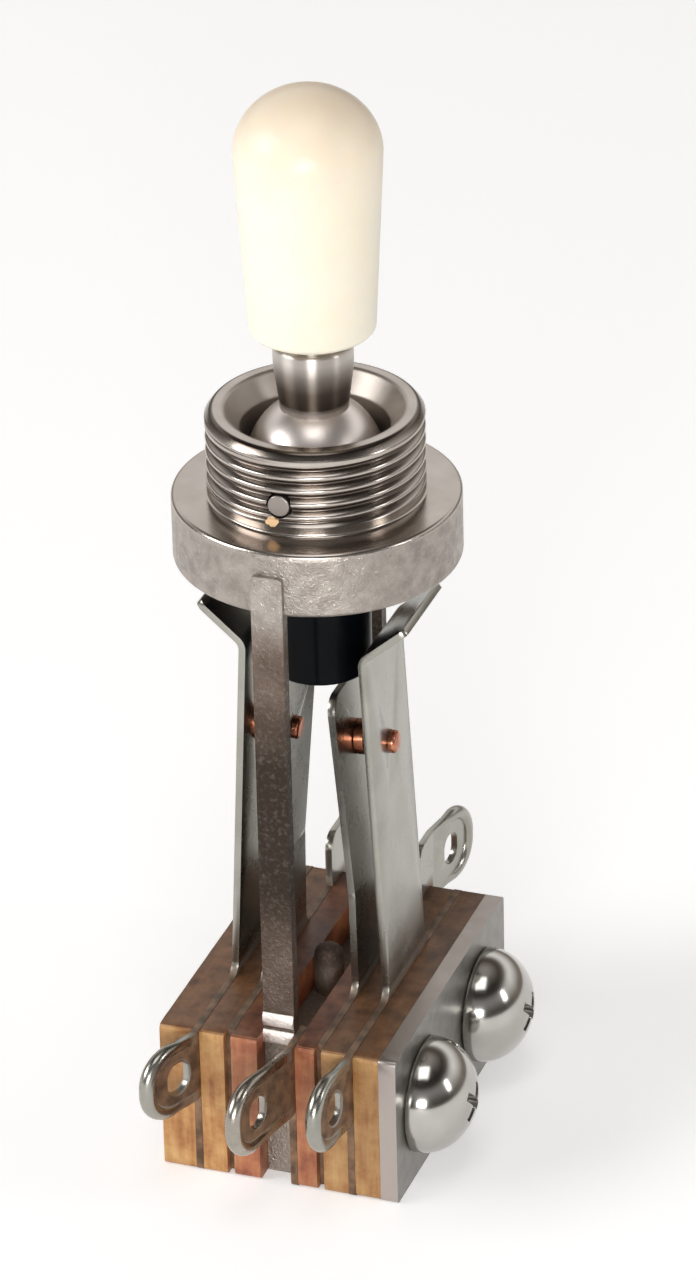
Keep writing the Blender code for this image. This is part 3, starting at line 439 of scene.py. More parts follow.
def flux_and_painted_reflection(shader, place, tint, rough, left_lug, right_lug):
    """Brown over the stack's metal and the front lugs' faces, partly flux and partly painted reflection and shade, but
    not on their tinned lips.
    """
    x, y, z = axes_of(place)
    first = STACK_FRONT - left_lug + LUG_MIDDLE_BACK
    second = STACK_FRONT - right_lug + LUG_MIDDLE_BACK
    past = maths("SUBTRACT", between(maths("GREATER_THAN", x, 0.0), first, second), y)
    rise = maths("SUBTRACT", z, STACK_TOP - LUG_MIDDLE_DOWN)
    from_core = from_centre(maths("MAXIMUM", past, 0.0), rise)
    from_hole = from_centre(maths("ADD", past, HOLE_BACK), times(rise, HOLE_SQUASH))
    on_face = times(mapped(from_core, BROWN_CORE + BROWN_EDGE, BROWN_CORE), mapped(from_hole, *HOLE_RIM))
    # Painted shade and reflection: the metal between the insulators turns brown.
    in_stack = mapped(y, STACK_FRONT - 0.9, STACK_FRONT - 0.2)
    before_rear, below_top = mapped(y, STACK_REAR + 0.4, STACK_REAR), mapped(z, STACK_TOP + 0.7, STACK_TOP - 0.1)
    share = times(maths("MAXIMUM", on_face, in_stack), before_rear, below_top)
    flux_and_reflection_brown = two_tone(speckle(place, BLOT, 4.0), "#55402F", "#8A6B52", 0.35)
    feed(shader, {
        "Base Color": mixed(share, tint, flux_and_reflection_brown), "Metallic": between(share, 1.0, 0.3),
        "Roughness": add_node(place.id_data, "Mix", {3: 0.55}, {0: share, 2: rough}).outputs[0],
    })


print("flux lies within", BROWN_CORE, "mm of the middle of a lug")

# %% [markdown]
# ### Nickel silver spring sheet
# The leaves are nickel silver, a pale alloy of copper, nickel and zinc that stays springy. It is rolled into sheet,
# which leaves a satin skin with faint lines along the strip. A noise stretched along the blade gives the lines, and
# a round one the slight patches in its gloss.

# %% Spring sheet
ROLL_LINE, ROLL_LENGTH, ROLL_DEPTH = 0.16, 9.0, 0.0022
GLOSS_PATCH = 2.5

spring_sheet, tree, shader, place = new_finish("rolled nickel silver", {"Metallic": 1.0})
lines = speckle(squeezed(place, ROLL_LINE, ROLL_LINE, ROLL_LENGTH), 1.0, 3.0)
relief(shader, lines, ROLL_DEPTH)
patches = speckle(place, GLOSS_PATCH, 4.0)
tint = two_tone(patches, "#9B9990", "#AEACA4")
flux_and_painted_reflection(shader, place, tint, between(patches, 0.2, 0.36), LEFT_LUG, RIGHT_LUG)
print("made", spring_sheet.name)

# %% [markdown]
# ### Tinned brass, plated steel and copper
# The ground lug is brass dipped in tin so that solder takes to it. The clamp plate is rolled steel with a dull
# nickel plate, and its edges are painted brighter than its faces, as a painted highlight. The screws are bright
# nickel, with the gloss of a headed and tumbled part. The rivets are copper with a skin of brown oxide. They differ
# mostly in colour and in how much a noise breaks up the gloss, so one loop makes them from a short table.

# %% Other metals
TINNED, DULL_PLATED = "tinned brass", "dull nickel-plated steel"
GRAIN = 0.2
other_metals = {
    # name: darker colour, lighter colour, patch in mm, least and most roughness, bump in mm
    TINNED: ("#9A9389", "#B3ADA3", 1.2, 0.2, 0.34, 0.006),
    DULL_PLATED: ("#85827D", "#9A9793", 0.8, 0.3, 0.44, 0.006),
    "bright nickel-plated screw": ("#B5B2AD", "#C2BFBA", 2.0, 0.12, 0.2, 0.0),
    "oxidised copper": ("#8E4C38", "#CB8A6C", 0.5, 0.2, 0.36, 0.004),
}
made = {}
for name, (dark, light, patch, least, most, depth) in other_metals.items():
    made[name], tree, shader, place = new_finish(name, {"Metallic": 1.0})
    patches = speckle(place, patch, 4.0)
    tint, rough = two_tone(patches, dark, light), between(patches, least, most)
    relief(shader, speckle(place, GRAIN), depth)
    if name == DULL_PLATED:
        # Painted highlight: the plates' edges are lighter than their faces.
        across = axes_of(add_node(tree, "NewGeometry").outputs["Normal"])[0]
        on_face = mapped(maths("ABSOLUTE", across), 0.5, 0.9)
        tint = mixed(on_face, "#B4ABA5", tint)
    feed(shader, {"Base Color": tint, "Roughness": rough})
    if name == TINNED:
        flux_and_painted_reflection(shader, place, tint, rough, GROUND_LUG, GROUND_LUG)
tinned_brass, plated_steel, bright_screw, contact_copper = made.values()
print("made", list(made))

# %% [markdown]
# ### Ivory and black plastic
# The tip is moulded from a cream plastic that lets light in a short way, so its edges look warmer than its middle.
# That is subsurface scattering, with a reach of about a millimetre. A ramp by height paints the dome darker and
# yellower than the sides, a painted shade, and a shallow ripple gives the uneven gloss of a moulding. The plunger
# under the flange is black nylon: smooth, a little waxy and nearly colourless.

# %% Plastics
DOME_ABOVE, DOME_SHADE = (18.0, 23.4), 0.62
RIPPLE, RIPPLE_DEPTH = 2.2, 0.02
IVORY_CLOUD, NYLON_CLOUD = 4.0, 1.5
NYLON_GRAIN, NYLON_DEPTH = 0.25, 0.006

ivory, tree, shader, place = new_finish("moulded ivory plastic", {
    "Roughness": 0.34, "IOR": 1.45, "Subsurface Weight": 0.4, "Subsurface Radius": (1.0, 0.7, 0.4),
    "Subsurface Scale": 1.4 * MM,
})
cream = two_tone(speckle(place, IVORY_CLOUD, 3.0), "#F8ECD7", "#FBF2E0")
# Painted shade: the dome is darker and yellower toward its top.
on_dome = mapped(axes_of(place)[2], *DOME_ABOVE, 0.0, DOME_SHADE)
feed(shader, {"Base Color": mixed(on_dome, cream, "#E6D2B6")})
relief(shader, speckle(place, RIPPLE, 1.0), RIPPLE_DEPTH)

black_nylon, tree, shader, place = new_finish("black moulded nylon", {
    "Roughness": 0.3, "IOR": 1.4, "Specular IOR Level": 0.13,
})
black = two_tone(speckle(place, NYLON_CLOUD, 3.0), "#030406", "#080A0E")
feed(shader, {"Base Color": black})
relief(shader, speckle(place, NYLON_GRAIN), NYLON_DEPTH)
print("made", ivory.name, "and", black_nylon.name)

# %% [markdown]
# ### Phenolic paper laminate
# The brown insulators are sheets of paper soaked in phenolic resin and pressed hard. Their sawn edges show the
# layers as stripes parallel to the faces, from honey to deep red brown. The layers lie across X, so a noise
# squeezed along X draws them, and a wider noise adds the scorched patches of the saw. Real layers are 0.1 mm apart
# and these are drawn 0.4 mm apart, because a finer one would not show in the picture. The insulators beside the foot
# are redder. Those at the far right are painted a little darker, a painted shadow, and the top edges are painted
# much darker than the front, a painted shade.

# %% Phenolic laminate
PAPER_LAYER, FIBRE_LENGTH, LAYER_DEPTH = 0.4, 4.0, 0.02
SCORCH, TUBE_WRAP = 1.3, 0.5
HONEY_BEYOND, SHADE_FROM, SHADE_TO = (2.3, 3.1), 1.0, 3.0
TOP_FACING = (0.55, 0.95)

phenolic, tree, shader, place = new_finish("sawn phenolic paper laminate", {"Roughness": 0.42, "IOR": 1.55})
strips = squeezed(place, PAPER_LAYER, FIBRE_LENGTH, FIBRE_LENGTH)
layers = speckle(strips, 1.0, 4.0, Roughness=0.6)
scorch = speckle(place, SCORCH, 4.0, Roughness=0.6)
blend = add_node(tree, "Mix", {0: 0.6}, {2: layers, 3: scorch}).outputs[0]
honey = ramp(blend, (0.28, "#7C4A2D"), (0.41, "#A6713F"), (0.50, "#B78752"), (0.60, "#C59962"),
             (0.74, "#D0AA77"))
red = ramp(blend, (0.28, "#66362A"), (0.41, "#965538"), (0.50, "#A86845"), (0.60, "#B57B52"),
           (0.74, "#C08F64"))
# Painted shade: the top faces of the insulators are much darker than the front.
painted_top_shade = two_tone(scorch, "#2E1A12", "#6A3F2A", 0.35)
across = axes_of(place)[0]
front = mixed(mapped(maths("ABSOLUTE", across), *HONEY_BEYOND), red, honey)
upward = axes_of(add_node(tree, "NewGeometry").outputs["Normal"])[2]
tint = mixed(mapped(upward, *TOP_FACING, 0.0, 0.8), front, painted_top_shade)
# Painted shadow: the insulators at the far right are a little darker.
shade = mapped(across, SHADE_FROM, SHADE_TO, 1.0, 0.8)
shaded = add_node(tree, "VectorMath", {"operation": "SCALE"}, {0: tint, "Scale": shade}).outputs[0]
feed(shader, {"Base Color": shaded})
relief(shader, layers, LAYER_DEPTH)

fibre_tube, tree, shader, place = new_finish("vulcanised fibre tube", {"Roughness": 0.6})
wraps = two_tone(speckle(place, TUBE_WRAP, 3.0), "#4A241A", "#74402C")
feed(shader, {"Base Color": wraps})
for node in ("front_sleeve", "rear_sleeve"):
    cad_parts[node].data.materials.clear()
    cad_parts[node].data.materials.append(fibre_tube)
print("made", phenolic.name, "and", fibre_tube.name)

# %% [markdown]
# ## Tools for the shapes
# Nearly every part of a switch is turned on a lathe, stamped from sheet or cast. So three helpers go a long way: a
# path with rounded corners, a turned form made by spinning such a path, and a flat blank with holes. A fourth runs
# Blender's modifiers over a mesh and hands back the result, and the last one turns it into a finished piece. Points
# closer than MERGE are taken as one.

# %% Paths and turned forms
ARC_STEP = math.radians(7)
MERGE = 0.0004


def rounded_path(corners, closed=True):
    """Points along a path of (u, v, radius) corners, with an arc at each corner."""
    points = []
    last = len(corners) - 1
    for index, (u, v, radius) in enumerate(corners):
        corner = Vector((u, v))
        if radius == 0 or (not closed and index in (0, last)):
            points.append((u, v))
            continue
        back = (Vector(corners[index - 1][:2]) - corner).normalized()
        on = (Vector(corners[(index + 1) % (last + 1)][:2]) - corner).normalized()
        half = back.angle(on) / 2
        centre = corner + (back + on).normalized() * radius / math.sin(half)
        start = corner + back * radius / math.tan(half) - centre
        end = corner + on * radius / math.tan(half) - centre
        sweep = math.atan2(start.cross(end), start.dot(end))
        steps = max(3, math.ceil(abs(sweep) / ARC_STEP))
        for step in range(steps + 1):
            points.append(tuple(centre + Matrix.Rotation(sweep * step / steps, 2) @ start))
    return points


def turned(profile, segments=96, closed=False):
    """Form spun about Z from (radius, z) points; an open profile starts and ends on the axis."""
    bm = bmesh.new()
    verts = [bm.verts.new((radius, 0, z)) for radius, z in profile]
    pairs = list(zip(verts, verts[1:]))
    if closed:
        pairs.append((verts[-1], verts[0]))
    edges = [bm.edges.new(pair) for pair in pairs]
    bmesh.ops.spin(bm, geom=verts + edges, cent=(0, 0, 0), axis=(0, 0, 1), angle=2 * math.pi, steps=segments)
    bmesh.ops.remove_doubles(bm, verts=bm.verts[:], dist=MERGE)
    bmesh.ops.recalc_face_normals(bm, faces=bm.faces[:])
    return bm


def laid_along(bm, axis, at=(0, 0, 0)):
    """Turns a form made about Z so that its +Z points along an axis, then places it."""
    turn_to = Vector((0, 0, 1)).rotation_difference(Vector(axis)).to_matrix().to_4x4()
    bm.transform(Matrix.Translation(at) @ turn_to)
    return bm


print("a rounded square has", len(rounded_path([(0, 0, 1), (4, 0, 1), (4, 4, 1), (0, 4, 1)])), "points")

# %% Blanks, plates and modifiers
ROUND_END = 0.499  # a hair under half the width, so that the two arcs of an end never cross


def circle(u, v, diameter, segments=48):
    """Points of a circle."""
    angles = [2 * math.pi * step / segments for step in range(segments)]
    return [(u + diameter / 2 * math.cos(a), v + diameter / 2 * math.sin(a)) for a in angles]


def slot_hole(u, v, width, height):
    """Upright hole with round ends."""
    low_u, high_u, low_v, high_v = u - width / 2, u + width / 2, v - height / 2, v + height / 2
    end = width * ROUND_END
    return rounded_path([(low_u, low_v, end), (high_u, low_v, end), (high_u, high_v, end), (low_u, high_v, end)])


def blank(outline, holes=()):
    """Flat face in the plane X = 0, from (y, z) loops."""
    bm = bmesh.new()
    for loop in [outline, *holes]:
        verts = [bm.verts.new((0, y, z)) for y, z in loop]
        for pair in zip(verts, verts[1:] + verts[:1]):
            bm.edges.new(pair)
    bmesh.ops.triangle_fill(bm, use_beauty=True, use_dissolve=False, edges=bm.edges[:])
    return bm


def plate(outline, holes, x_from, x_to):
    """Flat plate between two places along X."""
    bm = blank(outline, holes)
    extruded = bmesh.ops.extrude_face_region(bm, geom=bm.faces[:])["geom"]
    moved = [item for item in extruded if isinstance(item, bmesh.types.BMVert)]
    bmesh.ops.translate(bm, verts=moved, vec=(x_to - x_from, 0, 0))
    bmesh.ops.translate(bm, verts=bm.verts[:], vec=(x_from, 0, 0))
    bmesh.ops.recalc_face_normals(bm, faces=bm.faces[:])
    return bm


def work_object(bm):
    """Mesh object for a step on the way, which is removed later."""
    mesh = bpy.data.meshes.new("work")
    bm.to_mesh(mesh)
    bm.free()
    work = bpy.data.objects.new("work", mesh)
    bpy.context.scene.collection.objects.link(work)
    return work


def modified(bm, *steps):
    """Runs modifiers, each given as (kind, settings), over a bmesh and returns the result as a bmesh."""
    work = work_object(bm)
    for kind, settings in steps:
        modifier = work.modifiers.new(kind.lower(), kind)
        for key, value in settings.items():
            setattr(modifier, key, value)
    depsgraph = bpy.context.evaluated_depsgraph_get()
    result = bmesh.new()
    result.from_mesh(work.evaluated_get(depsgraph).data)
    bpy.data.meshes.remove(work.data)
    return result


def joined(bm, other, operation="UNION"):
    """Adds or cuts one closed form with another."""
    helper = work_object(other)
    result = modified(bm, ("BOOLEAN", {"operation": operation, "object": helper, "solver": "EXACT"}))
    bpy.data.meshes.remove(helper.data)
    return result


def softened(bm, width, segments=3, angle=40):
    """Rounds every edge that is sharper than an angle."""
    return modified(bm, ("BEVEL", {
        "width": width, "segments": segments, "limit_method": "ANGLE", "angle_limit": math.radians(angle),
        "use_clamp_overlap": True,
    }))


print("helpers ready")

# %% Finished pieces
SHARP_ANGLE = math.radians(50)
pieces = {}


def keep_piece(name, bm, finish, body, slot, *nodes):
    """Turns a bmesh in millimetres into a piece with its finish, which stands for CAD nodes."""
    bm.transform(Matrix.Scale(MM, 4))
    mesh = bpy.data.meshes.new(name)
    bm.to_mesh(mesh)
    bm.free()
    mesh.materials.clear()
    mesh.materials.append(finish)
    mesh.shade_smooth()
    mesh.set_sharp_from_angle(angle=SHARP_ANGLE)
    piece = bpy.data.objects.new(name, mesh)
    bpy.context.scene.collection.objects.link(piece)
    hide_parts(*nodes)
    if body:
        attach(piece, body)
        piece.modifiers.new("flat faces stay flat", "WEIGHTED_NORMAL").keep_sharp = True
    pieces[name] = piece
    print(name, len(mesh.polygons), "faces")
    return piece


# %% [markdown]
# ## The frame
# The frame is one casting: a threaded bushing on a flange, with two flat arms down to a foot. Its thread is the
# busiest shape on the switch, so it is worth real geometry. A thread is a helix: the height of its crest climbs by
# one pitch in each turn. The bushing is made as rings of points, and every point's radius is set by how far its
# height is from the nearest crest at its own angle. The crests and roots are rounded, and the thread fades out over
# a short way at both ends. The rim above it is rounded too, and leads into the funnel for the lever.

# %% The bushing and its thread
THREAD_RADIUS = 6.0
THREAD_DEPTH = 0.31
THREAD_PITCH = 25.4 / 32
CREST_AT_FRONT = 1.12
THREAD_FROM, THREAD_TO = 0.62, 4.55
THREAD_ROWS = 70
RUN_OUT = 0.3
CREST_FLAT = 0.06
ROOT_FLAT = 0.47
BUSHING_SEGMENTS = 240
RIM_HEIGHT = 5.0
RIM_SHOULDER, RIM_OUTER, RIM_INNER = 5.93, 5.66, 4.92
FUNNEL_DEPTH = 1.2
BALL_BORE, FLANGE_BORE, BORE_STEP = 4.1, 5.2, -0.5
UNDERCUT = 0.12
FLANGE_RADIUS = 7.95
FLANGE_BASE = -3.85


def thread_groove(z, angle):
    """Share of the thread's depth at a height and an angle, 0 on the crest and 1 at the root."""
    turns = (z - CREST_AT_FRONT) / THREAD_PITCH - (angle + math.pi / 2) / (2 * math.pi)
    off_crest = abs(turns - round(turns))
    share = min(1, max(0, (off_crest - CREST_FLAT) / (ROOT_FLAT - CREST_FLAT)))
    fade = min(1, (z - THREAD_FROM) / RUN_OUT, (THREAD_TO - z) / RUN_OUT)
    return max(0, fade) * share * share * (3 - 2 * share)


outer_side = rounded_path([
    (FLANGE_BORE, FLANGE_BASE, 0),
    (FLANGE_RADIUS, FLANGE_BASE, 0.3),
    (FLANGE_RADIUS, 0, 0.22),
    (THREAD_RADIUS - UNDERCUT, 0, 0.18),
    (THREAD_RADIUS - UNDERCUT, THREAD_FROM, 0),
], closed=False)
thread_side = [
    (THREAD_RADIUS, THREAD_FROM + (THREAD_TO - THREAD_FROM) * row / THREAD_ROWS) for row in range(THREAD_ROWS + 1)
]
inner_side = rounded_path([
    (THREAD_RADIUS, THREAD_TO, 0),
    (RIM_SHOULDER, THREAD_TO + 0.08, 0.1),
    (RIM_OUTER, RIM_HEIGHT, 0.36),
    (RIM_INNER, RIM_HEIGHT, 0.3),
    (BALL_BORE, RIM_HEIGHT - FUNNEL_DEPTH, 0.3),
    (BALL_BORE, BORE_STEP, 0.15),
    (FLANGE_BORE, BORE_STEP, 0.15),
    (FLANGE_BORE, FLANGE_BASE, 0),
], closed=False)
rows = outer_side + thread_side + inner_side[1:-1]
ring = bmesh.new()
rings = []
for radius, z in rows:
    threaded = THREAD_FROM <= z <= THREAD_TO and radius == THREAD_RADIUS
    row = []
    for step in range(BUSHING_SEGMENTS):
        angle = 2 * math.pi * step / BUSHING_SEGMENTS
        r = radius - THREAD_DEPTH * thread_groove(z, angle) if threaded else radius
        row.append(ring.verts.new((r * math.cos(angle), r * math.sin(angle), z)))
    rings.append(row)
for low, high in zip(rings, rings[1:] + rings[:1]):
    for step in range(BUSHING_SEGMENTS):
        after = (step + 1) % BUSHING_SEGMENTS
        ring.faces.new((low[step], low[after], high[after], high[step]))
bmesh.ops.recalc_face_normals(ring, faces=ring.faces[:])
print("bushing:", len(ring.faces), "faces")

# %% [markdown]
# The arms and the foot are one flat yoke, 1.8 mm thick. It is drawn as an outline and extruded, its edges are
# rounded as a casting's are, and it is joined to the bushing with a Boolean, so the two are one skin. Two rounded
# beads run across each arm where it meets the foot, and a small domed stub stands in the middle of the foot.

# %% The arms, the foot and the whole casting
ARM_OUT, ARM_IN = 8.25, 7.5
HALF_ARM = 0.9
ARM_TOP = -1.4
CROWN_ROUND, YOKE_EDGE, WINDOW_CORNER = 0.3, 0.11, 0.8
FOOT_TOP = STACK_TOP - 2.0
BEAD_LOWEST = STACK_TOP - 0.35
BEAD_PITCH = 1.1
BEAD_DEPTH = 0.24
BEAD_HALF = 0.465
BEAD_STEPS = 12
STUB_RADIUS, STUB_ROOT, STUB_RISE, STUB_DOME = 0.85, 0.8, 0.9, 0.7
PIVOT_Z = 1.8
PIN_HOLE_RADIUS, PIN_HOLE_REACH = 0.71, 7.5
SCREW_Z = (STACK_TOP + STACK_BASE) / 2
SCREW_PLACES = (-5.0, 5.0)
SLEEVE_HOLE = 4.5


def screw_holes(diameter=SLEEVE_HOLE):
    """The two holes that let the screws through a layer, or the screws in their sleeves."""
    return [circle(y, SCREW_Z, diameter) for y in SCREW_PLACES]


def beads(face_y, side):
    """Outline of the rounded beads on one arm, from low to high."""
    points = []
    for index in range(2):
        middle = BEAD_LOWEST + index * BEAD_PITCH
        for step in range(BEAD_STEPS + 1):
            angle = math.pi * (step / BEAD_STEPS - 0.5)
            points.append((face_y + side * BEAD_DEPTH * math.cos(angle), middle + BEAD_HALF * math.sin(angle)))
    return points


window = rounded_path([
    (ARM_IN, 0, 0), (ARM_IN, FOOT_TOP, WINDOW_CORNER), (-ARM_IN, FOOT_TOP, WINDOW_CORNER), (-ARM_IN, 0, 0),
], closed=False)[1:-1]
yoke_outline = (
    [(-ARM_OUT, STACK_BASE), (ARM_OUT, STACK_BASE)] + beads(ARM_OUT, 1) + [(ARM_OUT, ARM_TOP), (ARM_IN, ARM_TOP)]
    + window + [(-ARM_IN, ARM_TOP), (-ARM_OUT, ARM_TOP)] + list(reversed(beads(-ARM_OUT, -1)))
)
yoke = plate(yoke_outline, screw_holes(), -HALF_ARM, HALF_ARM)
crown = [
    edge for edge in yoke.edges
    if all(abs(vert.co.z - ARM_TOP) < MERGE for vert in edge.verts)
    and abs(edge.verts[0].co.x - edge.verts[1].co.x) < MERGE
]
bmesh.ops.bevel(yoke, geom=crown, offset=CROWN_ROUND, segments=6, profile=0.5, affect="EDGES")
bmesh.ops.recalc_face_normals(yoke, faces=yoke.faces[:])
yoke = softened(yoke, YOKE_EDGE, 2, 50)
stub_low, stub_high = FOOT_TOP - STUB_ROOT, STACK_TOP + STUB_RISE
stub = turned(rounded_path([
    (0, stub_low, 0), (STUB_RADIUS, stub_low, 0), (STUB_RADIUS, stub_high, STUB_DOME), (0, stub_high, 0),
], closed=False), 32)
r, reach = PIN_HOLE_RADIUS, PIN_HOLE_REACH
pin_hole = laid_along(turned([(0, -reach), (r, -reach), (r, reach), (0, reach)], 48), (0, 1, 0), (0, 0, PIVOT_Z))
casting = joined(joined(joined(ring, yoke), stub), pin_hole, "DIFFERENCE")
bmesh.ops.remove_doubles(casting, verts=casting.verts[:], dist=MERGE)
keep_piece("frame_casting", casting, cast_nickel, "frame", "cast_nickel", "frame")

# %% [markdown]
# ## Lever, pin, tip and plunger
# All four are turned or moulded round forms, so each is a profile spun about its axis. The profile carries what
# makes it look real: the small radii at every shoulder, the thin neck between the shaft and the tip, and the barrel
# of the tip, which widens evenly and then closes in a low dome.

# %% The lever
BALL_RADIUS = 3.75
BALL_STEPS = 36
STEM_RADIUS = 1.3
SHAFT_ROOT_RADIUS = 1.9
SHAFT_RADIUS = 2.2
NECK_RADIUS = 1.75
SHAFT_TAPER_TOP = 7.6
NECK_DOWN = 0.45
TIP_BASE = 9.3
STUD_LENGTH = 7.5
PLUNGER_TOP, PLUNGER_BOTTOM = -3.0, -10.9
STEM_END = PLUNGER_BOTTOM + 0.3

low_angle = -math.acos(STEM_RADIUS / BALL_RADIUS)
high_angle = math.acos(SHAFT_ROOT_RADIUS / BALL_RADIUS)
lever_profile = [(0, STEM_END), (STEM_RADIUS, STEM_END)]
for step in range(BALL_STEPS + 1):
    angle = low_angle + (high_angle - low_angle) * step / BALL_STEPS
    lever_profile.append((BALL_RADIUS * math.cos(angle), PIVOT_Z + BALL_RADIUS * math.sin(angle)))
lever_profile += rounded_path([
    (SHAFT_ROOT_RADIUS, PIVOT_Z + BALL_RADIUS - 0.3, 0),
    (SHAFT_RADIUS, SHAFT_TAPER_TOP, 6.0),
    (SHAFT_RADIUS, TIP_BASE - NECK_DOWN, 0.18),
    (NECK_RADIUS, TIP_BASE - NECK_DOWN, 0.06),
    (NECK_RADIUS, TIP_BASE + STUD_LENGTH, 0.3),
    (0, TIP_BASE + STUD_LENGTH, 0),
], closed=False)
keep_piece("turned_lever", turned(lever_profile), turned_steel, "lever", "turned_steel", "lever")

# %% The cross pin
PIN_RADIUS, PIN_HALF, PIN_ROUND = 0.62, 6, 0.07

pin_profile = rounded_path([
    (0, -PIN_HALF, 0), (PIN_RADIUS, -PIN_HALF, PIN_ROUND), (PIN_RADIUS, PIN_HALF, PIN_ROUND), (0, PIN_HALF, 0),
], closed=False)
cross_pin = laid_along(turned(pin_profile, 40), (0, 1, 0), (0, 0, PIVOT_Z))
keep_piece("cross_pin", cross_pin, turned_steel, "pin", "turned_steel", "pivot_pin")

# %% The ivory tip
TIP_FOOT = TIP_BASE + 0.3
TIP_BASE_RADIUS = 3.45
TIP_RADIUS = 4.03
TIP_WIDEST = 20.1
TIP_DOME = 3.6
DOME_POWER = 1.97
DOME_STEPS = 28
STUD_HOLE_TOP = TIP_BASE + 8
FIT = 0.05

tip_profile = [(0, STUD_HOLE_TOP)] + rounded_path([
    (NECK_RADIUS + FIT, STUD_HOLE_TOP, 0),
    (NECK_RADIUS + FIT, TIP_FOOT, 0.15),
    (TIP_BASE_RADIUS, TIP_FOOT, 0.38),
    (TIP_RADIUS, TIP_WIDEST, 0),
], closed=False)
for step in range(1, DOME_STEPS):
    angle = math.pi / 2 * step / DOME_STEPS
    tip_profile.append((
        TIP_RADIUS * math.cos(angle) ** (2 / DOME_POWER),
        TIP_WIDEST + TIP_DOME * math.sin(angle) ** (2 / DOME_POWER),
    ))
tip_profile.append((0, TIP_WIDEST + TIP_DOME))
keep_piece("ivory_tip", turned(tip_profile, 128), ivory, "lever", "ivory_plastic", "switch_tip")

# %% The black plunger
PLUNGER_RADIUS = 2.83
PLUNGER_FLAT = 1.6

plunger = turned(rounded_path([
    (STEM_RADIUS + FIT, PLUNGER_TOP, 0),
    (STEM_RADIUS + FIT, PLUNGER_BOTTOM, 0.1),
    (PLUNGER_RADIUS, PLUNGER_BOTTOM, 0.3),
    (PLUNGER_RADIUS, PLUNGER_TOP, 0.3),
]), 96, closed=True)
flat_y = math.sqrt(PLUNGER_RADIUS ** 2 - (PLUNGER_FLAT / 2) ** 2)
for vert in plunger.verts:
    vert.co.y = max(-flat_y, min(flat_y, vert.co.y))
keep_piece("black_plunger", plunger, black_nylon, "lever", "black_nylon", "plunger")

# %% [markdown]
# ## Spring leaves and lugs
# Each leaf is one stamping: a plate that the stack clamps, a blade that reaches up to the plunger and a lug for a
# wire. A press cuts it flat and then bends it. The same is done here. The flat blank is cut along each bend, its
# points are moved sideways along a rounded path, and a Solidify gives it the sheet's thickness. Stamping leaves
# softly rounded edges, and they matter: they draw the thin bright lines around every leaf in the photograph. The
# ends of the lugs were dipped in solder, which left a thick rounded lip of tin around each.

# %% Bending a stamped sheet
SHEET = 0.4
SHEET_EDGE = 0.07
BLADE_WIDTH = 6.2
BLADE_FILLET = 0.8
PAD_CORNER = 0.3
CONTACT_Z = -15.2
RIVET_HOLE = 1.0
STEEP_EDGE = 60


def sideways(path, at):
    """Second coordinate of an open path of (first, second) points, where first only grows."""
    for (u0, v0), (u1, v1) in zip(path, path[1:]):
        if at <= u1:
            return v0 + (v1 - v0) * (at - u0) / (u1 - u0)
    return path[-1][1]


def pressed_sheet(outline, holes, base_x, blade=(), lug=(), extra_cuts=()):
    """Stamped sheet: its blade is bent to a path of (z, x), its lug to one of (y, x)."""
    bm = blank(outline, holes)
    cuts = [((0, 0, z), (0, 0, 1)) for z, _ in blade] + [((0, y, 0), (0, 1, 0)) for y, _ in lug]
    cuts += [((0, 0, z), (0, 0, 1)) for z in extra_cuts]
    for point, normal in cuts:
        everything = bm.verts[:] + bm.edges[:] + bm.faces[:]
        bmesh.ops.bisect_plane(bm, geom=everything, plane_co=point, plane_no=normal, dist=MERGE)
    for vert in bm.verts:
        x = base_x
        if blade and abs(vert.co.y) < BLADE_WIDTH / 2 + BLADE_FILLET + MERGE and vert.co.z > blade[0][0]:
            x = sideways(blade, vert.co.z)
        if lug and lug[0][0] - MERGE < vert.co.y < lug[-1][0] + MERGE:
            x += sideways(lug, vert.co.y)
        vert.co.x = x
    bmesh.ops.recalc_face_normals(bm, faces=bm.faces[:])
    thick = modified(bm, ("SOLIDIFY", {"thickness": SHEET, "offset": 0, "use_even_offset": True}))
    return softened(thick, SHEET_EDGE, 2, STEEP_EDGE)


def blade_outline(tip_z, corner):
    """Blade part of a leaf's outline, from its rear root over the tip to its front root."""
    half = BLADE_WIDTH / 2
    return [(half, STACK_TOP, BLADE_FILLET), (half, tip_z, corner), (-half, tip_z, corner),
            (-half, STACK_TOP, BLADE_FILLET)]


print("blade", BLADE_WIDTH, "mm wide in sheet of", SHEET, "mm")

# %% The lugs' outlines and bends
LUG_HEIGHT = 4.3
LUG_END = 1.9
LUG_BEND = 0.8
LUG_HOLE = (1.5, 1.95)
LUG_HOLE_INSET = 2.25
LIP_THIN, LIP_THICK = 0.17, 0.46
LIP_INSET = 0.2
LIP_ROOT = 1.0
LIP_SIDES = 16


def lip_corners(start, end, low, high):
    """Corners of a lug's lip, a little inside its outline: from the root, round the end and back."""
    end += LIP_INSET if end < start else -LIP_INSET
    low, high, corner = low + LIP_INSET, high - LIP_INSET, LUG_END - LIP_INSET
    return [(start, high, 0), (end, high, corner), (end, low, corner), (start, low, 0)]


def front_lug(length, degrees):
    """Corners, hole, sideways path and lip of a lug that runs forward from the stack."""
    end, low = STACK_FRONT - length, STACK_TOP - LUG_HEIGHT
    corners = [(end, STACK_TOP, LUG_END), (end, low, LUG_END), (STACK_FRONT, low, 0)]
    hole = slot_hole(end + LUG_HOLE_INSET, STACK_TOP - LUG_HEIGHT / 2, *LUG_HOLE)
    bend_y = STACK_FRONT - LUG_BEND / 2
    path = rounded_path([
        (end, (bend_y - end) * math.tan(math.radians(degrees)), 0),
        (bend_y, 0, LUG_BEND),
        (STACK_FRONT, 0, 0),
    ], closed=False)
    return corners, hole, path, lip_corners(STACK_FRONT - LIP_ROOT, end, low, STACK_TOP)


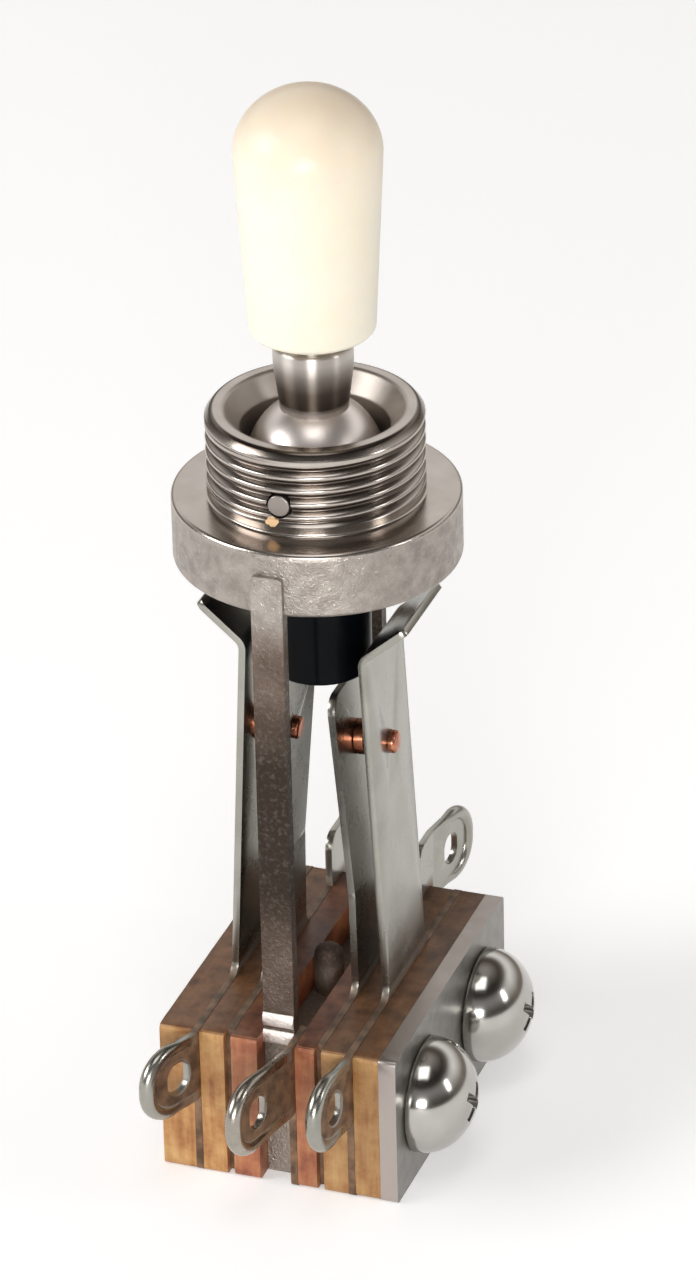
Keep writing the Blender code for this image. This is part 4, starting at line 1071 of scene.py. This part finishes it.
def tinned_lip(corners, base_x, lug_path):
    """Thick rounded lip of tin around a lug's end: a tube along its outline, thin at both ends."""
    outline = rounded_path(corners, closed=False)
    points = [Vector((base_x + sideways(lug_path, y), y, z)) for y, z in outline]
    along = [0.0]
    for start, end in zip(points, points[1:]):
        along.append(along[-1] + (end - start).length)
    bm = bmesh.new()
    rings = []
    for index, point in enumerate(points):
        ahead_point, behind = points[min(index + 1, len(points) - 1)], points[max(index - 1, 0)]
        tangent = (ahead_point - behind).normalized()
        side = tangent.cross(Vector((1, 0, 0))).normalized()
        normal = side.cross(tangent)
        radius = LIP_THIN + (LIP_THICK - LIP_THIN) * math.sin(math.pi * along[index] / along[-1]) ** 0.7
        angles = [2 * math.pi * step / LIP_SIDES for step in range(LIP_SIDES)]
        rings.append([bm.verts.new(point + radius * (normal * math.cos(a) + side * math.sin(a))) for a in angles])
    for ring, after in zip(rings, rings[1:]):
        for step in range(LIP_SIDES):
            bm.faces.new((ring[step], ring[step - 1], after[step - 1], after[step]))
    bm.faces.new(rings[0])
    bm.faces.new(rings[-1])
    bmesh.ops.recalc_face_normals(bm, faces=bm.faces[:])
    return bm


def leaf_holes(lug_hole):
    """A leaf's own holes, for its rivet and for a wire."""
    return [circle(0, CONTACT_Z, RIVET_HOLE, 24), lug_hole]


def tinned_sheet(outline, own_holes, base_x, lug_path, lip, blade=(), cuts=()):
    """Pressed sheet with the screws' holes and its own, and the lip of tin around its lug."""
    sheet = pressed_sheet(outline, screw_holes() + own_holes, base_x, blade, lug_path, cuts)
    return joined(sheet, tinned_lip(lip, base_x, lug_path))


print("lug hole", LUG_HOLE, "mm, lip", 2 * LIP_THICK, "mm")

# %% [markdown]
# The outer leaves bend when the plunger pushes them. In the CAD model the sheet is fixed and only its rivet swings.
# Here the leaf is baked in place and joined to no body, and its blade is cut every half millimetre over its lower
# part, which gives it points to bend at. The inner leaves stand still and lean in toward the middle, and their lugs
# point to the rear.

# %% The outer leaves
KNEE_X, KNEE_Z, KNEE_RADIUS = 3.45, -8.7, 0.8
FLARE_X, FLARE_Z = 6.0, -6.5
FLEX_LOW, FLEX_HIGH = -28.0, -18.0
FLEX_STEP = 0.5
FLEX_CUTS = round((FLEX_HIGH - FLEX_LOW) / FLEX_STEP) + 1

outer_leaves = {
    # side: direction along X, middle of the sheet, length and bend of the lug
    "left": (-1, -4.51, LEFT_LUG, -23.5),
    "right": (1, 4.52, RIGHT_LUG, -9),
}
for side_name, (side, base_x, lug_length, lug_bend) in outer_leaves.items():
    lug_corners, lug_hole, lug_path, lip = front_lug(lug_length, lug_bend)
    outline = rounded_path([
        (STACK_FRONT, STACK_BASE, PAD_CORNER),
        (STACK_REAR, STACK_BASE, PAD_CORNER),
        (STACK_REAR, STACK_TOP, PAD_CORNER),
        *blade_outline(FLARE_Z, 0.35),
        *lug_corners,
    ])
    blade = rounded_path([
        (STACK_TOP, base_x, 0), (KNEE_Z, side * KNEE_X, KNEE_RADIUS), (FLARE_Z, side * FLARE_X, 0),
    ], closed=False)
    flex_cuts = [FLEX_LOW + FLEX_STEP * step for step in range(FLEX_CUTS)]
    sheet = tinned_sheet(outline, leaf_holes(lug_hole), base_x, lug_path, lip, blade, flex_cuts)
    leaf = keep_piece(side_name + "_flared_leaf", sheet, spring_sheet, None, "spring_sheet",
                      side_name + "_outer_leaf")
    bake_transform(leaf)

# %% The inner leaves
INNER_TIP_X = 1.56
INNER_TIP_Z = -11.41
INNER_BEND_Z, INNER_LEAN = -23.6, 0.08
REAR_LUG = 4.7
REAR_RISE = 3.2
REAR_ROOT = 2.0
REAR_BEND = 10
INNER_RECESS = 0.5

for side_name, side, base_x in (("left", -1, -2.66), ("right", 1, 2.67)):
    lug_end, lug_top = STACK_REAR + REAR_LUG, STACK_TOP + REAR_RISE
    lug_low = lug_top - LUG_HEIGHT
    outline = rounded_path([
        (STACK_FRONT + INNER_RECESS, STACK_BASE, PAD_CORNER),
        (STACK_REAR, STACK_BASE, PAD_CORNER),
        (STACK_REAR, lug_low, 0),
        (lug_end, lug_low, LUG_END),
        (lug_end, lug_top, LUG_END),
        (STACK_REAR - REAR_ROOT, lug_top, LUG_END / 2),
        (STACK_REAR - REAR_ROOT, STACK_TOP, 0),
        *blade_outline(INNER_TIP_Z, 1.0),
        (STACK_FRONT + INNER_RECESS, STACK_TOP, PAD_CORNER),
    ])
    blade = rounded_path([
        (STACK_TOP, base_x, 0),
        (INNER_BEND_Z, base_x - side * INNER_LEAN, 4.0),
        (INNER_TIP_Z, side * INNER_TIP_X, 0),
    ], closed=False)
    bend_y = STACK_REAR + LUG_BEND / 2
    lug_path = rounded_path([
        (STACK_REAR, 0, 0), (bend_y, 0, LUG_BEND),
        (lug_end, (lug_end - bend_y) * math.tan(math.radians(side * REAR_BEND)), 0),
    ], closed=False)
    lug_hole = slot_hole(lug_end - LUG_HOLE_INSET, (lug_top + lug_low) / 2, *LUG_HOLE)
    lip = lip_corners(STACK_REAR + LIP_ROOT, lug_end, lug_low, lug_top)
    sheet = tinned_sheet(outline, leaf_holes(lug_hole), base_x, lug_path, lip, blade)
    keep_piece(side_name + "_leaning_leaf", sheet, spring_sheet, "frame", "spring_sheet", side_name + "_inner_leaf")

# %% The ground lug
ground_x = solid_box("ground_lug")[1].x - SHEET / 2
lug_corners, lug_hole, lug_path, lip = front_lug(GROUND_LUG, -13.5)
strap_end = -ARM_IN + WINDOW_CORNER
outline = rounded_path([
    (STACK_FRONT, STACK_BASE, PAD_CORNER),
    (STACK_REAR, STACK_BASE, PAD_CORNER),
    (STACK_REAR, FOOT_TOP, PAD_CORNER),
    (strap_end, FOOT_TOP, WINDOW_CORNER),
    (strap_end, STACK_TOP, WINDOW_CORNER),
    *lug_corners,
])
sheet = tinned_sheet(outline, [lug_hole], ground_x, lug_path, lip)
keep_piece("ground_plate_and_lug", sheet, tinned_brass, "frame", "tinned_brass", "ground_lug")

# %% [markdown]
# ## Contact rivets
# Each leaf carries a copper rivet, and the two rivets of a side face each other. A rivet is turned: a broad low head
# on the side that makes contact, a thin shank through the sheet, and a small upset tail behind. It stands square to
# its leaf, so its axis follows the slope of the blade at its height.

# %% Rivets
OUTER_ROOT_X, INNER_BEND_X = 4.52, 2.59
TAIL_RADIUS, TAIL_LENGTH = 0.65, 0.45
SHANK_RADIUS = 0.45
CONTACT_RADIUS = 1.0
CONTACT_GAP = 0.04
SEAT = SHEET / 2 + 0.02

contact_nodes = ("left_outer_contact", "right_outer_contact", "left_inner_contact", "right_inner_contact")
for node in contact_nodes:
    side = -1 if node.startswith("left") else 1
    outer = "outer" in node
    outer_blade = [(STACK_TOP, side * OUTER_ROOT_X), (KNEE_Z, side * KNEE_X)]
    inner_blade = [(INNER_BEND_Z, side * INNER_BEND_X), (INNER_TIP_Z, side * INNER_TIP_X)]
    blade, other_blade = (outer_blade, inner_blade) if outer else (inner_blade, outer_blade)
    middle, other = sideways(blade, CONTACT_Z), sideways(other_blade, CONTACT_Z)
    slope = (blade[1][1] - blade[0][1]) / (blade[1][0] - blade[0][0])
    head = (abs(middle - other) - SHEET - CONTACT_GAP) / 2
    facing = -side if outer else side
    profile = rounded_path([
        (0, -SHEET / 2 - TAIL_LENGTH, 0),
        (TAIL_RADIUS, -SHEET / 2 - TAIL_LENGTH + 0.05, 0.2),
        (TAIL_RADIUS, -SEAT, 0),
        (SHANK_RADIUS, -SEAT, 0),
        (SHANK_RADIUS, SEAT, 0),
        (CONTACT_RADIUS, SEAT, 0.04),
        (CONTACT_RADIUS, SHEET / 2 + head - 0.12, 0.1),
        (0, SHEET / 2 + head, 0),
    ], closed=False)
    rivet = laid_along(turned(profile, 40), (facing, 0, -facing * slope), (middle, 0, CONTACT_Z))
    body = ("left_contact" if side < 0 else "right_contact") if outer else "frame"
    keep_piece(node + "_rivet", rivet, contact_copper, body, "contact_copper", node)

# %% [markdown]
# ## The clamped stack
# Six brown insulators, the clamp plate and a thin backing plate make a sandwich with the leaves. The insulators are
# sawn, so their edges wander a little and no two line up exactly. Each one is an extruded rectangle whose outline
# is nudged by a seeded noise of a few hundredths of a millimetre, with its edges broken by a small bevel.

# %% Insulators
PAD_WANDER = 0.035
PAD_STEP = 0.6
PAD_EDGE = 0.06
WANDER_SCALE = 0.7
random.seed(7)


def sawn_outline(low, high, wander):
    """Outline of a solid's side view with points along every edge, each moved a little inward."""
    corners = rounded_path([
        (low.y, low.z, PAD_CORNER), (high.y, low.z, PAD_CORNER),
        (high.y, high.z, PAD_CORNER), (low.y, high.z, PAD_CORNER),
    ])
    points = []
    seed = random.random() * 100
    for start, end in zip(corners, corners[1:] + corners[:1]):
        count = max(1, round(math.dist(start, end) / PAD_STEP))
        for step in range(count):
            y = start[0] + (end[0] - start[0]) * step / count
            z = start[1] + (end[1] - start[1]) * step / count
            inward = -wander * (0.5 + 0.5 * noise.noise(Vector((y * WANDER_SCALE, z * WANDER_SCALE, seed))))
            inward -= wander * random.random() * 0.5
            middle = (low.z + high.z) / 2
            points.append((y * (1 + inward / high.y), middle + (z - middle) * (1 + inward / (high.z - middle))))
    return points


pads = ("left_outer_pad", "left_middle_pad", "left_inner_pad", "ground_pad", "right_middle_pad", "right_outer_pad")
for node in pads:
    low, high = solid_box(node)
    pad = plate(sawn_outline(low, high, PAD_WANDER), screw_holes(), low.x, high.x)
    keep_piece(node + "_laminate", softened(pad, PAD_EDGE, 2), phenolic, "frame", "phenolic", node)

# %% Clamp plate and backing plate
STEEL_WANDER = 0.008

for node, edge, hole in (("clamp_plate", 0.16, 3.7), ("backing_plate", 0.08, 3.58)):
    low, high = solid_box(node)
    steel = plate(sawn_outline(low, high, STEEL_WANDER), screw_holes(hole), low.x, high.x)
    keep_piece(node + "_steel", softened(steel, edge, 3), plated_steel, "frame", "plated_steel", node)

# %% [markdown]
# ## Screws
# Two screws hold the stack. In the photograph their heads are round domes, taller than the flat heads of the solids,
# so each one is turned from part of an ellipse. The cross recess is punched, so its wings taper toward the bottom
# and its rims are slightly rounded. A plus-shaped cutter that narrows with depth makes it.

# %% The two screws
HEAD_RADIUS = 3.3
HEAD_HEIGHT = 3.1
HEAD_RIM = 0.3
RECESS_REACH = 1.5
RECESS_HALF_WIDTH = 0.34
RECESS_DEPTH = 1.5
RECESS_TAPER = 0.42
CUTTER_ABOVE = 0.8
HEAD_STEPS = 32
HEAD_FOOT = 0.12
SHANK, SHANK_ROUND = 1.75, 0.25

screw_end = solid_box("backing_plate")[0].x
seat = solid_box("clamp_plate")[1].x + 0.01
face = seat + HEAD_HEIGHT
for node, y in zip(("front_screw", "rear_screw"), SCREW_PLACES):
    profile = rounded_path([(0, screw_end, 0), (SHANK, screw_end, SHANK_ROUND), (SHANK, seat, 0)], closed=False)
    profile += [(HEAD_RADIUS - HEAD_FOOT, seat), (HEAD_RADIUS, seat + HEAD_FOOT)]
    for step in range(HEAD_STEPS):
        angle = math.pi / 2 * step / HEAD_STEPS
        profile.append((HEAD_RADIUS * math.cos(angle), seat + HEAD_RIM + (HEAD_HEIGHT - HEAD_RIM) * math.sin(angle)))
    profile.append((0, face))
    screw = laid_along(turned(profile), (1, 0, 0), (0, y, SCREW_Z))
    a, h = RECESS_REACH, RECESS_HALF_WIDTH
    cross = [(a, -h), (a, h), (h, h), (h, a), (-h, a), (-h, h), (-a, h), (-a, -h), (-h, -h), (-h, -a), (h, -a), (h, -h)]
    cutter = plate(cross, [], -RECESS_DEPTH, CUTTER_ABOVE)
    for vert in cutter.verts:
        if vert.co.x < 0:
            vert.co.yz = vert.co.yz * RECESS_TAPER
    cutter.transform(Matrix.Translation((face, y, SCREW_Z)) @ Matrix.Rotation(math.pi / 4, 4, "X"))
    screw = softened(joined(screw, cutter, "DIFFERENCE"), 0.05, 2, 45)
    keep_piece(node + "_pan_head", screw, bright_screw, "frame", "plated_steel", node)

# %% [markdown]
# ## Colours on screen
# The picture's colours are shown as they are, without a film look, and the number of pieces is printed.

# %% Colour management and the count of pieces
bpy.context.scene.view_settings.view_transform = "Standard"
print("pieces:", len(pieces))
